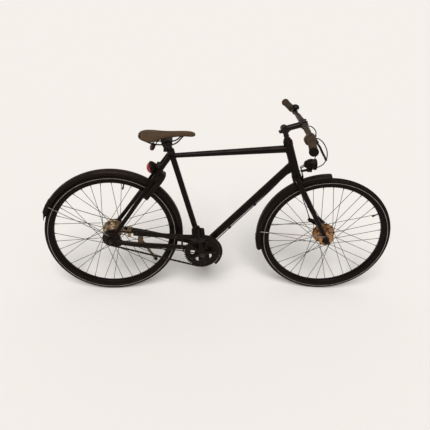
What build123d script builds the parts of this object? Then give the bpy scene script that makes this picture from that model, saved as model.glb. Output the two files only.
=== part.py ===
from build123d import *
import os
from math import sin, cos, tan, radians, degrees, sqrt, pi, asin, atan2, acos

# City bicycle. Millimetres. It is drawn upright: X forward, Y to its left, Z up,
# rear axle above X = 0, floor near Z = 0. At the end every piece is leaned onto the side stand.

# ---- driving dimensions -------------------------------------------------
WHEELBASE = 1129.0
AXLE_Z = 349.0             # height of the axles in the upright drawing
WHEEL_R = 346.0            # tyre outside radius
TYRE_R = 18.0              # tyre section radius
RIM_IN = 297.5             # rim inner radius
RIM_OUT = 317.0
LEAN = 5.0                 # degrees, to the left
EYE_R = 2.1                # tapped hole for a rack or mudguard stay, M5
STEER = -4.6               # degrees, front wheel turned a little to the right as it parks
HEAD_ANGLE = 70.0
AXIS_X = 1057.6            # steering axis at axle height
BB = (469.0, 0.0, 270.0)
SEAT_TOP = (291.0, 0.0, 826.0)
DROPOUT_Y = 66.0           # middle of the rear frame end plates
RACK_EYE = (-10.0, 366.0)  # spare tapped hole in each rear frame end, x and height
GUARD_EYE = (-11.0, 383.0) # the hole above it, taken by the mudguard stay
FORK_EYE = (1107.5, 355.5) # tapped hole in each fork end
FORK_BOSS = (1107.5, 389.0) # boss on each fork leg, for the mudguard stay
FORK_Y = 60.0              # middle of the fork end plates
SPOKES = 36
CRANK_ANGLE = 101.0        # right crank, degrees up from straight ahead
CRANK_LEN = 165.0
RING_R, RING_Y = 88.0, -45.0
BAR_R = 11.1               # handlebar at the grips
BAR_MID = Vector(926, 0, 979)
BAR_END = Vector(897, 335, 980)   # left end, the right one is its mirror image
RAIL_R = 3.5
CABLE_R = 2.5
GUARD_STAY_R = 1.9
STAND_PIVOT = Vector(141, 88, 252)
STAND_FOOT = (222.0, 216.0)       # ahead of the rear axle, to the left of the bicycle's middle
ORIGIN_SHIFT = (-563.8483, -78.9426, 0.0)   # brings the middle of the leaned outline over the origin

AX_R = Vector(0, 0, AXLE_Z)
AX_F = Vector(WHEELBASE, 0, AXLE_Z)
HEAD_DIR = Vector(-cos(radians(HEAD_ANGLE)), 0, sin(radians(HEAD_ANGLE)))
HEAD_FWD = Vector(sin(radians(HEAD_ANGLE)), 0, cos(radians(HEAD_ANGLE)))


def on_head(z, forward=0.0, side=0.0):
    return Vector(AXIS_X - (z - AXLE_Z) / tan(radians(HEAD_ANGLE)), 0, z) + HEAD_FWD * forward + Vector(0, side, 0)


# ---- small helpers ------------------------------------------------------
def V(p):
    return p if isinstance(p, Vector) else Vector(*p)


def rod(a, b, r, r2=None):
    a, b = V(a), V(b)
    d = b - a
    pl = Plane(origin=a, z_dir=d)
    if r2 is None or abs(r2 - r) < 1e-6:
        return Solid.make_cylinder(r, d.length, pl)
    return Solid.make_cone(r, r2, d.length, pl)


def ball(p, r):
    return Pos(*V(p)) * Sphere(r)


def spin(points, c=(0, 0, 0)):
    # closed outline of (radius, side) points, turned about the side axis
    return Pos(*c) * revolve(make_face(Polyline(*points, close=True)), Axis.Y)


def lathe(a, direction, points):
    # closed outline of (radius, along) points, turned about a line from a
    f = make_face(Polyline(*[(r, 0, h) for r, h in points], close=True))
    return Plane(origin=V(a), z_dir=V(direction)).location * revolve(f, Axis.Z)


def box(x0, x1, y0, y1, z0, z1):
    return Pos((x0 + x1) / 2, (y0 + y1) / 2, (z0 + z1) / 2) * Box(x1 - x0, abs(y1 - y0), z1 - z0)


def plate(points, y0, y1):
    # outline in X and Z, thick from y0 to y1
    f = make_face(Polyline(*[(x, 0, z) for x, z in points], close=True))
    s = extrude(f, amount=abs(y1 - y0), dir=(0, 1, 0))
    return Pos(0, min(y0, y1), 0) * s


def tube_along(points, r, share=0.45):
    # straight runs joined by tangent arcs, each arc as large as its two runs allow
    ps = [V(p) for p in points]
    radii = []
    for i in range(1, len(ps) - 1):
        u, w = ps[i] - ps[i - 1], ps[i + 1] - ps[i]
        turn = radians(u.get_angle(w))
        radii.append(share * min(u.length, w.length) / tan(turn / 2))
    line = FilletPolyline(*ps, radius=radii)
    start = (ps[1] - ps[0]).normalized()
    return sweep(Plane(origin=ps[0], z_dir=start) * Circle(r), path=line), radii


def solids(*things):
    out = []
    for t in things:
        out += list(t.solids()) if hasattr(t, "solids") else list(t)
    return out


def biggest(p):
    return sorted(p.solids(), key=lambda s: -s.volume)[0]


def at(v):
    return Pos(v.X, v.Y, v.Z)


STEERING, FRAME, REAR, FRONT, CRANK, PEDR, PEDL, STAND = {}, {}, {}, {}, {}, {}, {}, {}

# ---- wheels -------------------------------------------------------------
rim_line = [(RIM_IN, -8), (RIM_IN, 8), (302, 12.2), (RIM_OUT, 12.5), (RIM_OUT, 10.9), (311, 10.9),
            (311, -10.9), (RIM_OUT, -10.9), (RIM_OUT, -12.5), (302, -12.2)]


def tyre():
    a = Pos(WHEEL_R - TYRE_R, 0) * Circle(TYRE_R)
    b = Pos(WHEEL_R - TYRE_R + 1, 0) * Circle(TYRE_R - 3.6)
    hole = Pos(311, 0) * Rectangle(16, 14)
    rim2 = make_face(Polyline(*rim_line, close=True))
    return revolve(a - b - hole - rim2, Axis.Y)


def spokes(flanges, rim_y=1.6, cross=3, r=1.3):
    # flanges: (radius, side position) of the right one, then of the left one
    out = []
    n = SPOKES // 2
    for side, (fr, fy) in ((-1, flanges[0]), (1, flanges[1])):
        for k in range(n):
            lead = 1 if k % 2 else -1
            off = 2.2 if lead > 0 else -2.2
            shift = 0 if side < 0 else 360.0 / n / 2
            a_hub = 360.0 * k / n + shift
            a_rim = a_hub + lead * 360.0 / n * cross
            p = Vector(fr * cos(radians(a_hub)), fy + off * 1.6, fr * sin(radians(a_hub)))
            q = Vector((RIM_IN - 0.3) * cos(radians(a_rim)), side * rim_y + off * 0.55, (RIM_IN - 0.3) * sin(radians(a_rim)))
            out.append(rod(p, q, r))
    return out


tyre_solid = tyre()
rim_solid = spin(rim_line)
for store, name, ax in ((REAR, "rear", AX_R), (FRONT, "front", AX_F)):
    store[name + "_tyre"] = at(ax) * tyre_solid
    store[name + "_rim"] = at(ax) * rim_solid

# rear hub with its gears inside: (radius, side) from the right end to the left end
REAR["rear_hub"] = at(AX_R) * spin([(7.2, -49), (23, -49), (23, -40), (31, -40), (31, -32.5), (46, -32.5), (46, -29.5), (41, -26),
                                    (41, 24), (42, 28.5), (49, 28.5), (49, 31.5), (26, 34), (26, 37), (7.2, 37)])
REAR["rear_spokes"] = [at(AX_R) * s for s in spokes(((44.8, -31.0), (45.0, 30.0)))]
REAR["rear_sprocket"] = at(AX_R) * spin([(23.1, -46.2), (38, -46.2), (38, -43.8), (23.1, -43.8)])

# front hub: small right flange, wide left disc with a ring of oval windows
front_hub = spin([(7.2, -36), (17, -36), (17, -32.5), (40, -32.5), (40, -29.5), (21, -26), (21, 17), (48, 21.5), (60, 21.5), (60, 24.5), (20, 27), (20, 31), (7.2, 31)])
WINDOWS = 10
for k in range(WINDOWS):
    w = Pos(34, 23, 0) * Rot(90, 0, 0) * extrude(SlotOverall(15, 8.5, rotation=90), amount=20, both=True)
    front_hub = front_hub - Rot(0, 360.0 / WINDOWS * k + 9, 0) * w
FRONT["front_hub"] = at(AX_F) * front_hub
FRONT["front_spokes"] = [at(AX_F) * s for s in spokes(((36.5, -31.0), (55.5, 23.0)))]

# ---- frame --------------------------------------------------------------
head_tube = rod(on_head(702), on_head(872), 21.5) + rod(on_head(697.5), on_head(708), 23.4) + rod(on_head(867), on_head(884), 23.2)
head_tube = head_tube - rod(on_head(690), on_head(890), 17.0)
head_full = rod(on_head(695), on_head(878), 21.5)
seat_dir = (V(SEAT_TOP) - V(BB)).normalized()


def on_seat(z):
    return V(BB) + seat_dir * ((z - BB[2]) / seat_dir.Z)


bb_full = rod((BB[0], -36, BB[2]), (BB[0], 36, BB[2]), 21.0)
bb_shell = bb_full - rod((BB[0], -37, BB[2]), (BB[0], 37, BB[2]), 16.0)
seat_full = rod(V(BB), V(SEAT_TOP), 14.6)
seat_tube = biggest(seat_full - rod(V(BB), V(SEAT_TOP) + seat_dir * 5, 13.4) - bb_full)
top_tube = rod(on_seat(797), on_head(846), 12.0, 19.0) - seat_full - head_full
down_a, down_b = Vector(474, 0, 270), on_head(765)
DOWN_DIR = (down_b - down_a).normalized()
DOWN_LOW = Vector(DOWN_DIR.Z, 0, -DOWN_DIR.X)      # square to the down tube, forward and down
down_tube = biggest(rod(down_a, down_b, 18.5, 20.5) - bb_full - head_full - rod(V(BB), on_seat(400), 14.6))
top_tube = biggest(top_tube - rod(on_head(860), on_head(890), 23.4))

# chain stay sections: x, side, height, width across, depth
STAY_SECTIONS = [(28, 63, 341, 16, 21), (200, 55, 315, 18, 24), (340, 36.5, 293, 13, 26), (461, 26.5, 274, 15, 27)]
SEAT_STAY = ((18, 63, 377), (286, 22, 798))
chain_stays, seat_stays, drops = [], [], []
for s in (-1, 1):
    secs = []
    for x, y, z, w, h in STAY_SECTIONS:
        secs.append(Plane(origin=(x, s * y, z), x_dir=(0, 1, 0), z_dir=(1, 0, 0)) * RectangleRounded(w, h, w * 0.45))
    cs = loft(secs, ruled=False) - bb_full - seat_full
    a, b = [Vector(p[0], s * p[1], p[2]) for p in SEAT_STAY]
    ss = rod(a, b, 10.5, 12.0) - seat_full
    d = plate([(-18, 330), (-19, 366), (-19, 390), (8, 394), (34, 392), (52, 355), (52, 318), (8, 318)], s * DROPOUT_Y - 3, s * DROPOUT_Y + 3)
    d = d - rod((0, s * 50, AXLE_Z), (0, s * 80, AXLE_Z), 5.1) - rod((GUARD_EYE[0], s * 50, GUARD_EYE[1]), (GUARD_EYE[0], s * 80, GUARD_EYE[1]), EYE_R)
    d = d - rod((RACK_EYE[0], s * 50, RACK_EYE[1]), (RACK_EYE[0], s * 80, RACK_EYE[1]), EYE_R)
    drops.append(d)
    chain_stays.append(biggest(biggest(cs) - d))
    seat_stays.append(biggest(biggest(ss) - d))
top_tube = biggest(top_tube - seat_stays[0] - seat_stays[1])

FRAME["head_tube"] = head_tube
FRAME["top_tube"] = top_tube
FRAME["down_tube"] = down_tube
FRAME["seat_tube"] = seat_tube
FRAME["bottom_bracket_shell"] = bb_shell
FRAME["chain_stays"] = chain_stays
FRAME["seat_stays"] = seat_stays
FRAME["frame_ends"] = drops

# axle: its threaded ends stand out past a nut at each side
AXLE_CORE_END, AXLE_END = 80.0, 90.0
FRAME["rear_axle"] = rod((0, -AXLE_CORE_END, AXLE_Z), (0, AXLE_CORE_END, AXLE_Z), 4.8) + [
    rod((0, s * AXLE_CORE_END, AXLE_Z), (0, s * AXLE_END, AXLE_Z), 5.0) for s in (-1, 1)]
# cable end of the hub gear, at the right frame end
joint = spin([(8.0, -60.5), (27, -60.5), (29, -58), (29, -53.5), (27, -51.6), (8.0, -51.6)], (0, 0, AXLE_Z))
joint = joint + rod((4, -56.5, AXLE_Z - 26), (34, -56.5, AXLE_Z - 23), 4.2)
joint = biggest(joint - chain_stays[0])
FRAME["gear_cable_joint"] = joint

# rear brake, left: a closed drum, and its reaction arm held to the left chain stay by a clip
arm = spin([(8.0, 39.5), (51, 39.5), (54, 41.5), (54, 46), (50, 50), (8.0, 50)], (0, 0, AXLE_Z))
arm = arm + plate([(-6, 360), (-4, 334), (20, 330), (88, 311), (96, 315), (96, 322), (86, 326), (14, 362)], 47, 50.5)
clip = box(74, 92, 44, 53.8, 296, 346) + box(74, 92, 44, 74, 341.5, 346) + box(74, 92, 44, 74, 306, 310.5) + box(74, 92, 69, 74, 306, 346)
FRAME["rear_brake_arm"] = biggest(arm + clip - chain_stays[1] - rod((0, 30, AXLE_Z), (0, 60, AXLE_Z), 8.0))

# seat post, its clamp and the collar on the frame
post_top = on_seat(858)
clamp_c = post_top + Vector(-1.0, 0, 4)
post = rod(V(SEAT_TOP) - seat_dir * 90, post_top, 13.2)
head = rod(clamp_c + Vector(0, -29, 0), clamp_c + Vector(0, 29, 0), 13.5) + box(clamp_c.X - 19, clamp_c.X + 19, -29, 29, clamp_c.Z - 1, clamp_c.Z + 9)
head = head + plate([(242, 882), (300, 884), (297, 862), (290, 846), (256, 846), (248, 862)], -19.5, 19.5)
collar = rod(on_seat(809), on_seat(828), 18.2) - rod(on_seat(780), on_seat(840), 14.6)
lug = box(257, 279, -8.5, 8.5, 819, 838)
collar = collar + (lug - rod(on_seat(780), on_seat(850), 15.0))
FRAME["seat_collar"] = biggest(collar - top_tube - seat_stays[0] - seat_stays[1])

# saddle rails: side position and height along x
RAIL_LINE = [(158, 24, 896), (200, 24, 862), (312, 22, 862), (354, 10, 908)]
rails = []
for s in (-1, 1):
    r, radii = tube_along([(x, s * y, z) for x, y, z in RAIL_LINE], RAIL_R, 0.4)
    rails.append(r.solid() if hasattr(r, "solid") else r)
FRAME["saddle_rails"] = rails
FRAME["seat_post"] = biggest((post + head) - [rod((200, s * 24, 862), (320, s * 22, 862), RAIL_R + 0.1) for s in (-1, 1)] - rails[0] - rails[1])

# saddle sections: x, half width, height, middle height
SADDLE_SECTIONS = [(138, 20, 11, 900), (150, 50, 17, 902), (168, 67, 20, 901), (194, 75, 24, 897.5), (218, 67, 20, 901), (245, 50, 18, 904), (280, 34, 18, 908.5), (320, 24.5, 18, 912.5), (360, 20.5, 19.5, 914.5), (388, 17, 19, 914), (406, 8, 12, 912)]
secs = []
for x, hw, h, z in SADDLE_SECTIONS:
    secs.append(Plane(origin=(x, 0, z), x_dir=(0, 1, 0), z_dir=(1, 0, 0)) * RectangleRounded(2 * hw, h, h * 0.45))
saddle = loft(secs, ruled=True)
FRAME["saddle"] = biggest(saddle - rails[0] - rails[1])

# mudguards: outline of the pressed strip as (radius, side)
guard2d = [(345, -24.6), (354, -24.2), (361, -21), (366, -13), (368, 0), (366, 13), (361, 21), (354, 24.2), (345, 24.6),
           (345, 23.0), (353.6, 22.6), (359.7, 19.8), (364.4, 12.2), (366.3, 0), (364.4, -12.2), (359.7, -19.8), (353.6, -22.6), (345, -23.0)]


def mudguard(ax, a0, a1):
    # angles up from straight ahead
    full = revolve(make_face(Polyline(*guard2d, close=True)), Axis.Y, revolution_arc=a1 - a0)
    return at(ax) * Rot(0, -a1, 0) * full


REAR_GUARD = (0, 160)
FRONT_GUARD = (93.5, 196)
rear_guard = mudguard(AX_R, *REAR_GUARD)
# rubber flap that hangs from the rear guard's end
flap2d = [(-337.5, -23), (-340.5, -15), (-342.2, 0), (-340.5, 15), (-337.5, 23), (-335.8, 22), (-338.6, 14), (-340.2, 0), (-338.6, -14), (-335.8, -22)]
flap = Pos(0, 0, 434) * extrude(make_face(Polyline(*[(x, y, 0) for x, y in flap2d], close=True)), amount=53, dir=(0, 0, 1))
rear_guard = biggest(rear_guard + flap)
front_guard = mudguard(AX_F, *FRONT_GUARD)
FRAME["rear_mudguard"] = biggest(rear_guard - seat_stays[0] - seat_stays[1])
STEERING["front_mudguard"] = front_guard
# mudguard stays: from the frame end's eye to the guard's edge
rear_guard_stays, front_guard_stays = [], []
for s in (-1, 1):
    a = Vector(GUARD_EYE[0], s * 73.4, GUARD_EYE[1])
    ang = radians(152)
    b = AX_R + Vector(354 * cos(ang), s * 25.6, 354 * sin(ang))
    st = rod(a, b, GUARD_STAY_R) + rod(Vector(GUARD_EYE[0], s * 69.1, GUARD_EYE[1]), Vector(GUARD_EYE[0], s * 76, GUARD_EYE[1]), 5.0)
    rear_guard_stays.append(st)
    a = Vector(FORK_BOSS[0], s * 73.5, FORK_BOSS[1])
    ang = radians(177)
    b = AX_F + Vector(354 * cos(ang), s * 25.6, 354 * sin(ang))
    st = rod(a, b, GUARD_STAY_R) + rod(Vector(FORK_BOSS[0], s * 66, FORK_BOSS[1]), Vector(FORK_BOSS[0], s * 76, FORK_BOSS[1]), 5.0)
    front_guard_stays.append(st)
FRAME["rear_mudguard_stays"] = rear_guard_stays

# rear light between the seat stays
LIGHT_C, LIGHT_DIR = Vector(192, 0, 729), Vector(0.97, 0, 0.24)
light = lathe(LIGHT_C, LIGHT_DIR, [(0, 0), (22, 0.5), (29, 3), (32, 8), (32, 13), (27, 22), (16, 34), (13, 45), (0, 45)])
light = light + box(226, 246, -26, 26, 737, 751)
FRAME["rear_light"] = biggest(light - seat_stays[0] - seat_stays[1] - seat_full)

# ring lock around the rear wheel, on the seat stays: drawn in a plane that holds the radius at LOCK_ANGLE
LOCK_ANGLE = 53.5
lock_out = [(-50, 288), (-50, 402), (-40, 428), (-20, 440), (20, 440), (40, 428), (50, 402), (50, 288), (36, 288), (36, 385), (24, 400), (-24, 400), (-36, 385), (-36, 288)]
lock = extrude(make_face(Polyline(*[(0, y, r) for y, r in lock_out], close=True)), amount=13, both=True)
lock = lock + box(-30, 0, -45, -24, 396, 426) + box(-30, 0, 24, 45, 396, 426)
lock = at(AX_R) * Rot(0, 90 - LOCK_ANGLE, 0) * lock
FRAME["ring_lock"] = biggest(lock - seat_stays[0] - seat_stays[1] - rear_guard)

# ---- steering -----------------------------------------------------------
crown = rod(on_head(670), on_head(696), 24) + rod(on_head(684) + Vector(0, -60, 0), on_head(684) + Vector(0, 60, 0), 13.5)
steerer = rod(on_head(690), on_head(893), 14.0) + rod(on_head(884.8), on_head(893), 19.0)
legs = []
for s in (-1, 1):
    legs.append(rod(on_head(682) + Vector(0, s * 47, 0), (WHEELBASE - 6, s * FORK_Y, 362), 15, 10))
STEERING["fork_crown"] = crown + steerer
fork_legs, fd = [], []
for i, s in enumerate((-1, 1)):
    d = plate([(WHEELBASE - 28, 350), (WHEELBASE - 27, 362), (WHEELBASE + 2, 366), (WHEELBASE + 14, 349), (WHEELBASE + 6, 336), (WHEELBASE - 8, 336)], s * FORK_Y - 3, s * FORK_Y + 3)
    d = d - rod((WHEELBASE, s * 50, 349), (WHEELBASE, s * 70, 349), 4.6) - rod((FORK_EYE[0], s * 50, FORK_EYE[1]), (FORK_EYE[0], s * 70, FORK_EYE[1]), EYE_R)
    fd.append(d)
    fork_legs.append(biggest(legs[i] - crown + d))
STEERING["fork_legs"] = fork_legs
STEERING["front_mudguard_stays"] = [biggest(front_guard_stays[i] - legs[i]) for i in (0, 1)]
FRONT_CORE_END, FRONT_END = 73.0, 81.0
STEERING["front_axle"] = rod((WHEELBASE, -FRONT_CORE_END, AXLE_Z), (WHEELBASE, FRONT_CORE_END, AXLE_Z), 4.4) + [
    rod((WHEELBASE, s * FRONT_CORE_END, AXLE_Z), (WHEELBASE, s * FRONT_END, AXLE_Z), 4.5) for s in (-1, 1)]
# front brake, held still at the left fork leg
brake = spin([(8.0, 34), (36, 34), (38, 36), (38, 44), (30, 50), (8.0, 50)], (WHEELBASE, 0, AXLE_Z))
brake = brake + plate([(1122, 395), (1104, 372), (1046, 404), (1040, 412), (1044, 421), (1052, 423)], 43, 50)
brake = brake + plate([(1088, 440), (1110, 426), (1135, 400), (1141, 384), (1120, 376), (1100, 396)], 43, 50)
brake = brake + plate([(1108, 398), (1092, 407), (1084, 393), (1100, 384)], 43, 62) - rod((WHEELBASE, 30, AXLE_Z), (WHEELBASE, 60, AXLE_Z), 8.0)
STEERING["front_brake"] = biggest(brake - legs[1] - fd[1])

# stem and bar
KNUCKLE = Vector(838, 0, 948)
quill = rod(on_head(893.1), on_head(941), 12.7) + rod(on_head(893.1), on_head(901), 15.5)
stem = quill + rod(KNUCKLE + Vector(0, -17, 0), KNUCKLE + Vector(0, 17, 0), 18) + rod(on_head(930), KNUCKLE, 14.5) + rod(KNUCKLE, BAR_MID, 14.6)
stem = stem + rod(BAR_MID + Vector(0, -22, 0), BAR_MID + Vector(0, 22, 0), 19.5)
stem = stem + rod(KNUCKLE + Vector(-10, -9, -14), KNUCKLE + Vector(-22, -9, -16), 5.0) + rod(KNUCKLE + Vector(-10, 9, -14), KNUCKLE + Vector(-22, 9, -16), 5.0)
stem = biggest(stem - rod(BAR_MID + Vector(0, -30, 0), BAR_MID + Vector(0, 30, 0), 15.95))
STEERING["stem"] = stem
bar = rod(BAR_MID + Vector(0, -45, 0), BAR_MID + Vector(0, 45, 0), 15.9)
BAR_KNEE = (Vector(925, 110, 978), Vector(917, 200, 980))
bar_ends = []
for s in (-1, 1):
    k1, k2, e = [Vector(p.X, s * p.Y, p.Z) for p in (BAR_KNEE[0], BAR_KNEE[1], BAR_END)]
    bar = bar + rod(BAR_MID + Vector(0, s * 44, 0), k1, 15.6, 13.4) + ball(k1, 13.8) + rod(k1, k1 + (k2 - k1) * 0.4, 13.4, BAR_R + 0.2) + rod(k1 + (k2 - k1) * 0.39, k2, BAR_R) + ball(k2, BAR_R + 0.15) + rod(k2, e, BAR_R)
    bar_ends.append((k1, k2, e))
STEERING["handlebar"] = bar


def bar_at(side, y):
    # point on the bar's middle line at that distance from the middle
    k1, k2, e = bar_ends[0 if side < 0 else 1]
    p, q = (k1, k2) if y < 200 else (k2, e)
    t = (y - abs(p.Y)) / (abs(q.Y) - abs(p.Y))
    return p + (q - p) * t


def sleeve(side, y0, y1, r0, r1=None, bore=None):
    a, b = bar_at(side, y0), bar_at(side, y1)
    d = (b - a).normalized()
    return rod(a, b, r0, r1) - rod(a - d * 2, b + d * 2, bore or BAR_R + 0.25)


grips = []
for s in (-1, 1):
    e = bar_ends[0 if s < 0 else 1][2]
    d = (e - bar_ends[0 if s < 0 else 1][1]).normalized()
    g = sleeve(s, 226, 312, 17.0, 17.4) + sleeve(s, 311.9, 334.9, 17.4, 20.0) + rod(e + d * 0.1, e + d * 4, 19.6) + rod(e - d * 1.0, e + d * 1.0, 19.6) - rod(e - d * 30, e, BAR_R + 0.25)
    grips.append(biggest(g))
STEERING["grips"] = grips
sh_c = bar_at(-1, 186)
shifter = rod(bar_at(-1, 201), bar_at(-1, 224), 20.5, 18.0) + rod(bar_at(-1, 172), bar_at(-1, 201.2), 22.5, 21.5) + rod(sh_c + Vector(-6, 12, -8), sh_c + Vector(-6, -12, -8), 21.6)
shifter = shifter - rod(bar_at(-1, 150), bar_at(-1, 201.5), 11.9) - rod(bar_at(-1, 201), bar_at(-1, 230), BAR_R + 0.25)
STEERING["gear_shifter"] = biggest(shifter)
lever = sleeve(-1, 150, 166, 16.5, 16.5, 12.0)
lv = bar_at(-1, 158)
LEVER_LINE = [(947, -166, 963), (961, -190, 946), (968, -216, 932), (975, -262, 917)]
lever_body = rod(lv + Vector(12, 0, -4), LEVER_LINE[0], 9.0) + ball(LEVER_LINE[0], 9.0)
blade = [rod(LEVER_LINE[i], LEVER_LINE[i + 1], 5.6, 5.4) + ball(LEVER_LINE[i + 1], 5.9) for i in range(3)]
lever = lever + (lever_body - rod(bar_at(-1, 130), bar_at(-1, 190), 12.0)) + blade[0] + blade[1] + blade[2]
lever = lever + rod((938, -160, 972), (950, -140, 974), 5.0)
lever = lever - shifter
STEERING["brake_lever"] = biggest(lever)
bell_c = bar_at(1, 178)
bell = sleeve(1, 172, 184, 14.5, 14.5, 11.9) + (lathe(bell_c + Vector(0, 0, 12), (0, 0, 1), [(0, 0), (7, 0), (7, 4), (19, 5), (19.5, 9), (17.5, 17), (11, 23), (0, 25.5)]) - rod(bar_at(1, 150), bar_at(1, 199), 11.9))
STEERING["bell"] = biggest(bell)

# headlight on a bracket from the crown
LAMP = Vector(960, 0, 766)
lamp = lathe(LAMP, (1, 0, 0.03), [(0, 0), (10, 0), (17, 5), (22, 16), (27, 34), (27.5, 50), (25.5, 54), (0, 56)])
BRACKET_LINE = [(25, 674), (31, 688), (31, 712), (31, 736)]     # ahead of the steering axis, height
for s in (-1, 1):
    ps = [on_head(z, f, s * 7.5) for f, z in BRACKET_LINE] + [Vector(967, s * 7.5, 762)]
    for i in range(len(ps) - 1):
        lamp = lamp + rod(ps[i], ps[i + 1], 2.6) + ball(ps[i + 1], 2.6)
    ps = [on_head(716, 31, s * 7.5), Vector(982, s * 7.5, 735)]
    lamp = lamp + rod(ps[0], ps[1], 2.6)
lamp = lamp + box(978, 1002, -10.5, 10.5, 728, 745)
lamp = lamp + rod(on_head(680, 24.2, 0), on_head(680, 29, 0), 9.0) + rod(on_head(686, 30, -8), on_head(686, 30, 8), 2.6)
STEERING["headlight"] = biggest(lamp - crown)

# ---- crank --------------------------------------------------------------
ring = spin([(12.1, -1.5), (RING_R, -1.5), (RING_R, 1.5), (12.1, 1.5)])
for k in range(5):
    a = 36 + 72 * k
    cut = None
    for da in (-6, 0, 6):
        c = rod((49 * cos(radians(a + da)), -5, 49 * sin(radians(a + da))), (49 * cos(radians(a + da)), 5, 49 * sin(radians(a + da))), 11.0)
        cut = c if cut is None else cut + c
    ring = ring - cut
CRANK["chainring"] = Pos(BB[0], RING_Y, BB[2]) * ring
ang = radians(CRANK_ANGLE)
PEDAL_AT = {}
arms = rod((BB[0], -74, BB[2]), (BB[0], 74, BB[2]), 12.0)
for s, sg in ((-1, 1), (1, -1)):
    q = (BB[0] + sg * CRANK_LEN * cos(ang), s * 72, BB[2] + sg * CRANK_LEN * sin(ang))
    mid = Vector(BB[0], s * 68, BB[2])
    arms = arms + rod((BB[0], s * 58, BB[2]), (BB[0], s * 78, BB[2]), 16) + rod(mid, q, 12.5, 9.5) + rod((q[0], s * 62, q[2]), (q[0], s * 81, q[2]), 12.5)
    PEDAL_AT[s] = q
    y0, y1 = 86.0, 180.0
    pd = rod((q[0], s * y0, q[2]), (q[0], s * y1, q[2]), 9.0)
    for yy in (y0 + 1.5, y1 - 3.5):
        pd = pd + box(q[0] - 31, q[0] + 31, s * yy, s * (yy + 3.0), q[2] - 11.5, q[2] + 11.5)
    for xs in (-1, 1):
        pd = pd + box(q[0] + xs * 21.5 - 10.5, q[0] + xs * 21.5 + 10.5, s * (y0 + 4), s * (y1 - 3), q[2] - 13, q[2] + 13)
    (PEDR if s < 0 else PEDL)["right_pedal" if s < 0 else "left_pedal"] = pd
CRANK["crank_arms"] = arms

# ---- chain, guard ---------------------------------------------------------
c1, r1, c2, r2 = V(BB), RING_R + 0.6, AX_R, 38.6


def loop_face(r_a, r_b, y=0.0):
    d = c2 - c1
    base, tilt = degrees(atan2(d.Z, d.X)), degrees(acos((r_a - r_b) / d.length))
    ends = []
    for side in (1, -1):
        a = radians(base + side * tilt)
        n = Vector(cos(a), 0, sin(a))
        ends.append((c1 + n * r_a, c2 + n * r_b))
    (p1, p2), (p4, p3) = ends
    u = (c1 - c2).normalized()
    return make_face(Wire([Edge.make_line(p1, p2), ThreePointArc(p2, c2 - u * r_b, p3).edge(), Edge.make_line(p3, p4), ThreePointArc(p4, c1 + u * r_a, p1).edge()]))


CHAIN_H, CHAIN_W = 7.5, 7.0
outer = extrude(loop_face(r1 + CHAIN_H, r2 + CHAIN_H), amount=CHAIN_W, dir=(0, 1, 0))
inner = extrude(loop_face(r1, r2), amount=CHAIN_W + 2, dir=(0, 1, 0))
FRAME["chain"] = Pos(0, RING_Y - CHAIN_W / 2, 0) * (outer - Pos(0, -1, 0) * inner)

# chain guard: a strip outside the chain, over its upper run and round the ring's front
GUARD_R, GUARD_END = 107.0, -44.0
GUARD_TOP = [(112, 403), (250, 387), (340, 378)]     # upper edge, x and height
GUARD_LOW = [(340, 352), (250, 360), (112, 371)]
arc_in = GUARD_R - 12


def ring_pt(r, a):
    return (BB[0] + r * cos(radians(a)), BB[2] + r * sin(radians(a)))


def xz(p):
    return (p[0], 0, p[1])


top_end, low_end = ring_pt(GUARD_R, 92), ring_pt(arc_in - 13, 92)
e = [Polyline(*[xz(p) for p in GUARD_TOP], xz(top_end)),
     ThreePointArc(xz(top_end), xz(ring_pt(GUARD_R, 24)), xz(ring_pt(GUARD_R, GUARD_END))),
     Line(xz(ring_pt(GUARD_R, GUARD_END)), xz(ring_pt(arc_in, GUARD_END))),
     ThreePointArc(xz(ring_pt(arc_in, GUARD_END)), xz(ring_pt(arc_in, 10)), xz(ring_pt(arc_in, 60))),
     Polyline(xz(ring_pt(arc_in, 60)), xz(low_end), *[xz(p) for p in GUARD_LOW], xz(GUARD_TOP[0]))]
guard_face = make_face(Curve() + e)
guard = Pos(0, -52.8, 0) * extrude(guard_face, amount=1.8, dir=(0, 1, 0))
# a tab to the right chain stay carries it, and a plate behind the ring from the bottom bracket's end
guard = guard + box(358, 368, -52.8, -51.0, 292, 372) + box(358, 368, -52.8, -30, 292, 295)
back = plate([(BB[0] - 26, BB[2] - 3), (BB[0] - 6, BB[2] - 26)] + [ring_pt(62, a) for a in (-12, 8)] + [ring_pt(103.5, 18), ring_pt(103.5, 32)] + [ring_pt(62, a) for a in (44, 66, 88, 110, 128)], -38.3, -36.0)
back = back + plate([ring_pt(99.5, 18), ring_pt(103.5, 18), ring_pt(103.5, 32), ring_pt(99.5, 32)], -52.0, -36.0)
back = back - rod((BB[0], -50, BB[2]), (BB[0], -30, BB[2]), 17.0)
FRAME["chain_guard"] = biggest(guard + back - chain_stays[0])

# ---- cables ---------------------------------------------------------------
# gear cable, from the twist shifter to the head, left of the headlight
GEAR_CABLE_A = [(936, -172, 972), (962, -150, 969), (998, -124, 938), (1030, -96, 888), (1048, -62, 832), (1048, -22, 778), (1030, 18, 740), (998, 32, 722), (964, 28, 714)]
# and on under the down tube, round below the bottom bracket and under the right chain stay


def under_down(x, off, side):
    t = (x - down_a.X) / DOWN_DIR.X
    return down_a + DOWN_DIR * t + DOWN_LOW * off + Vector(0, side, 0)


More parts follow.
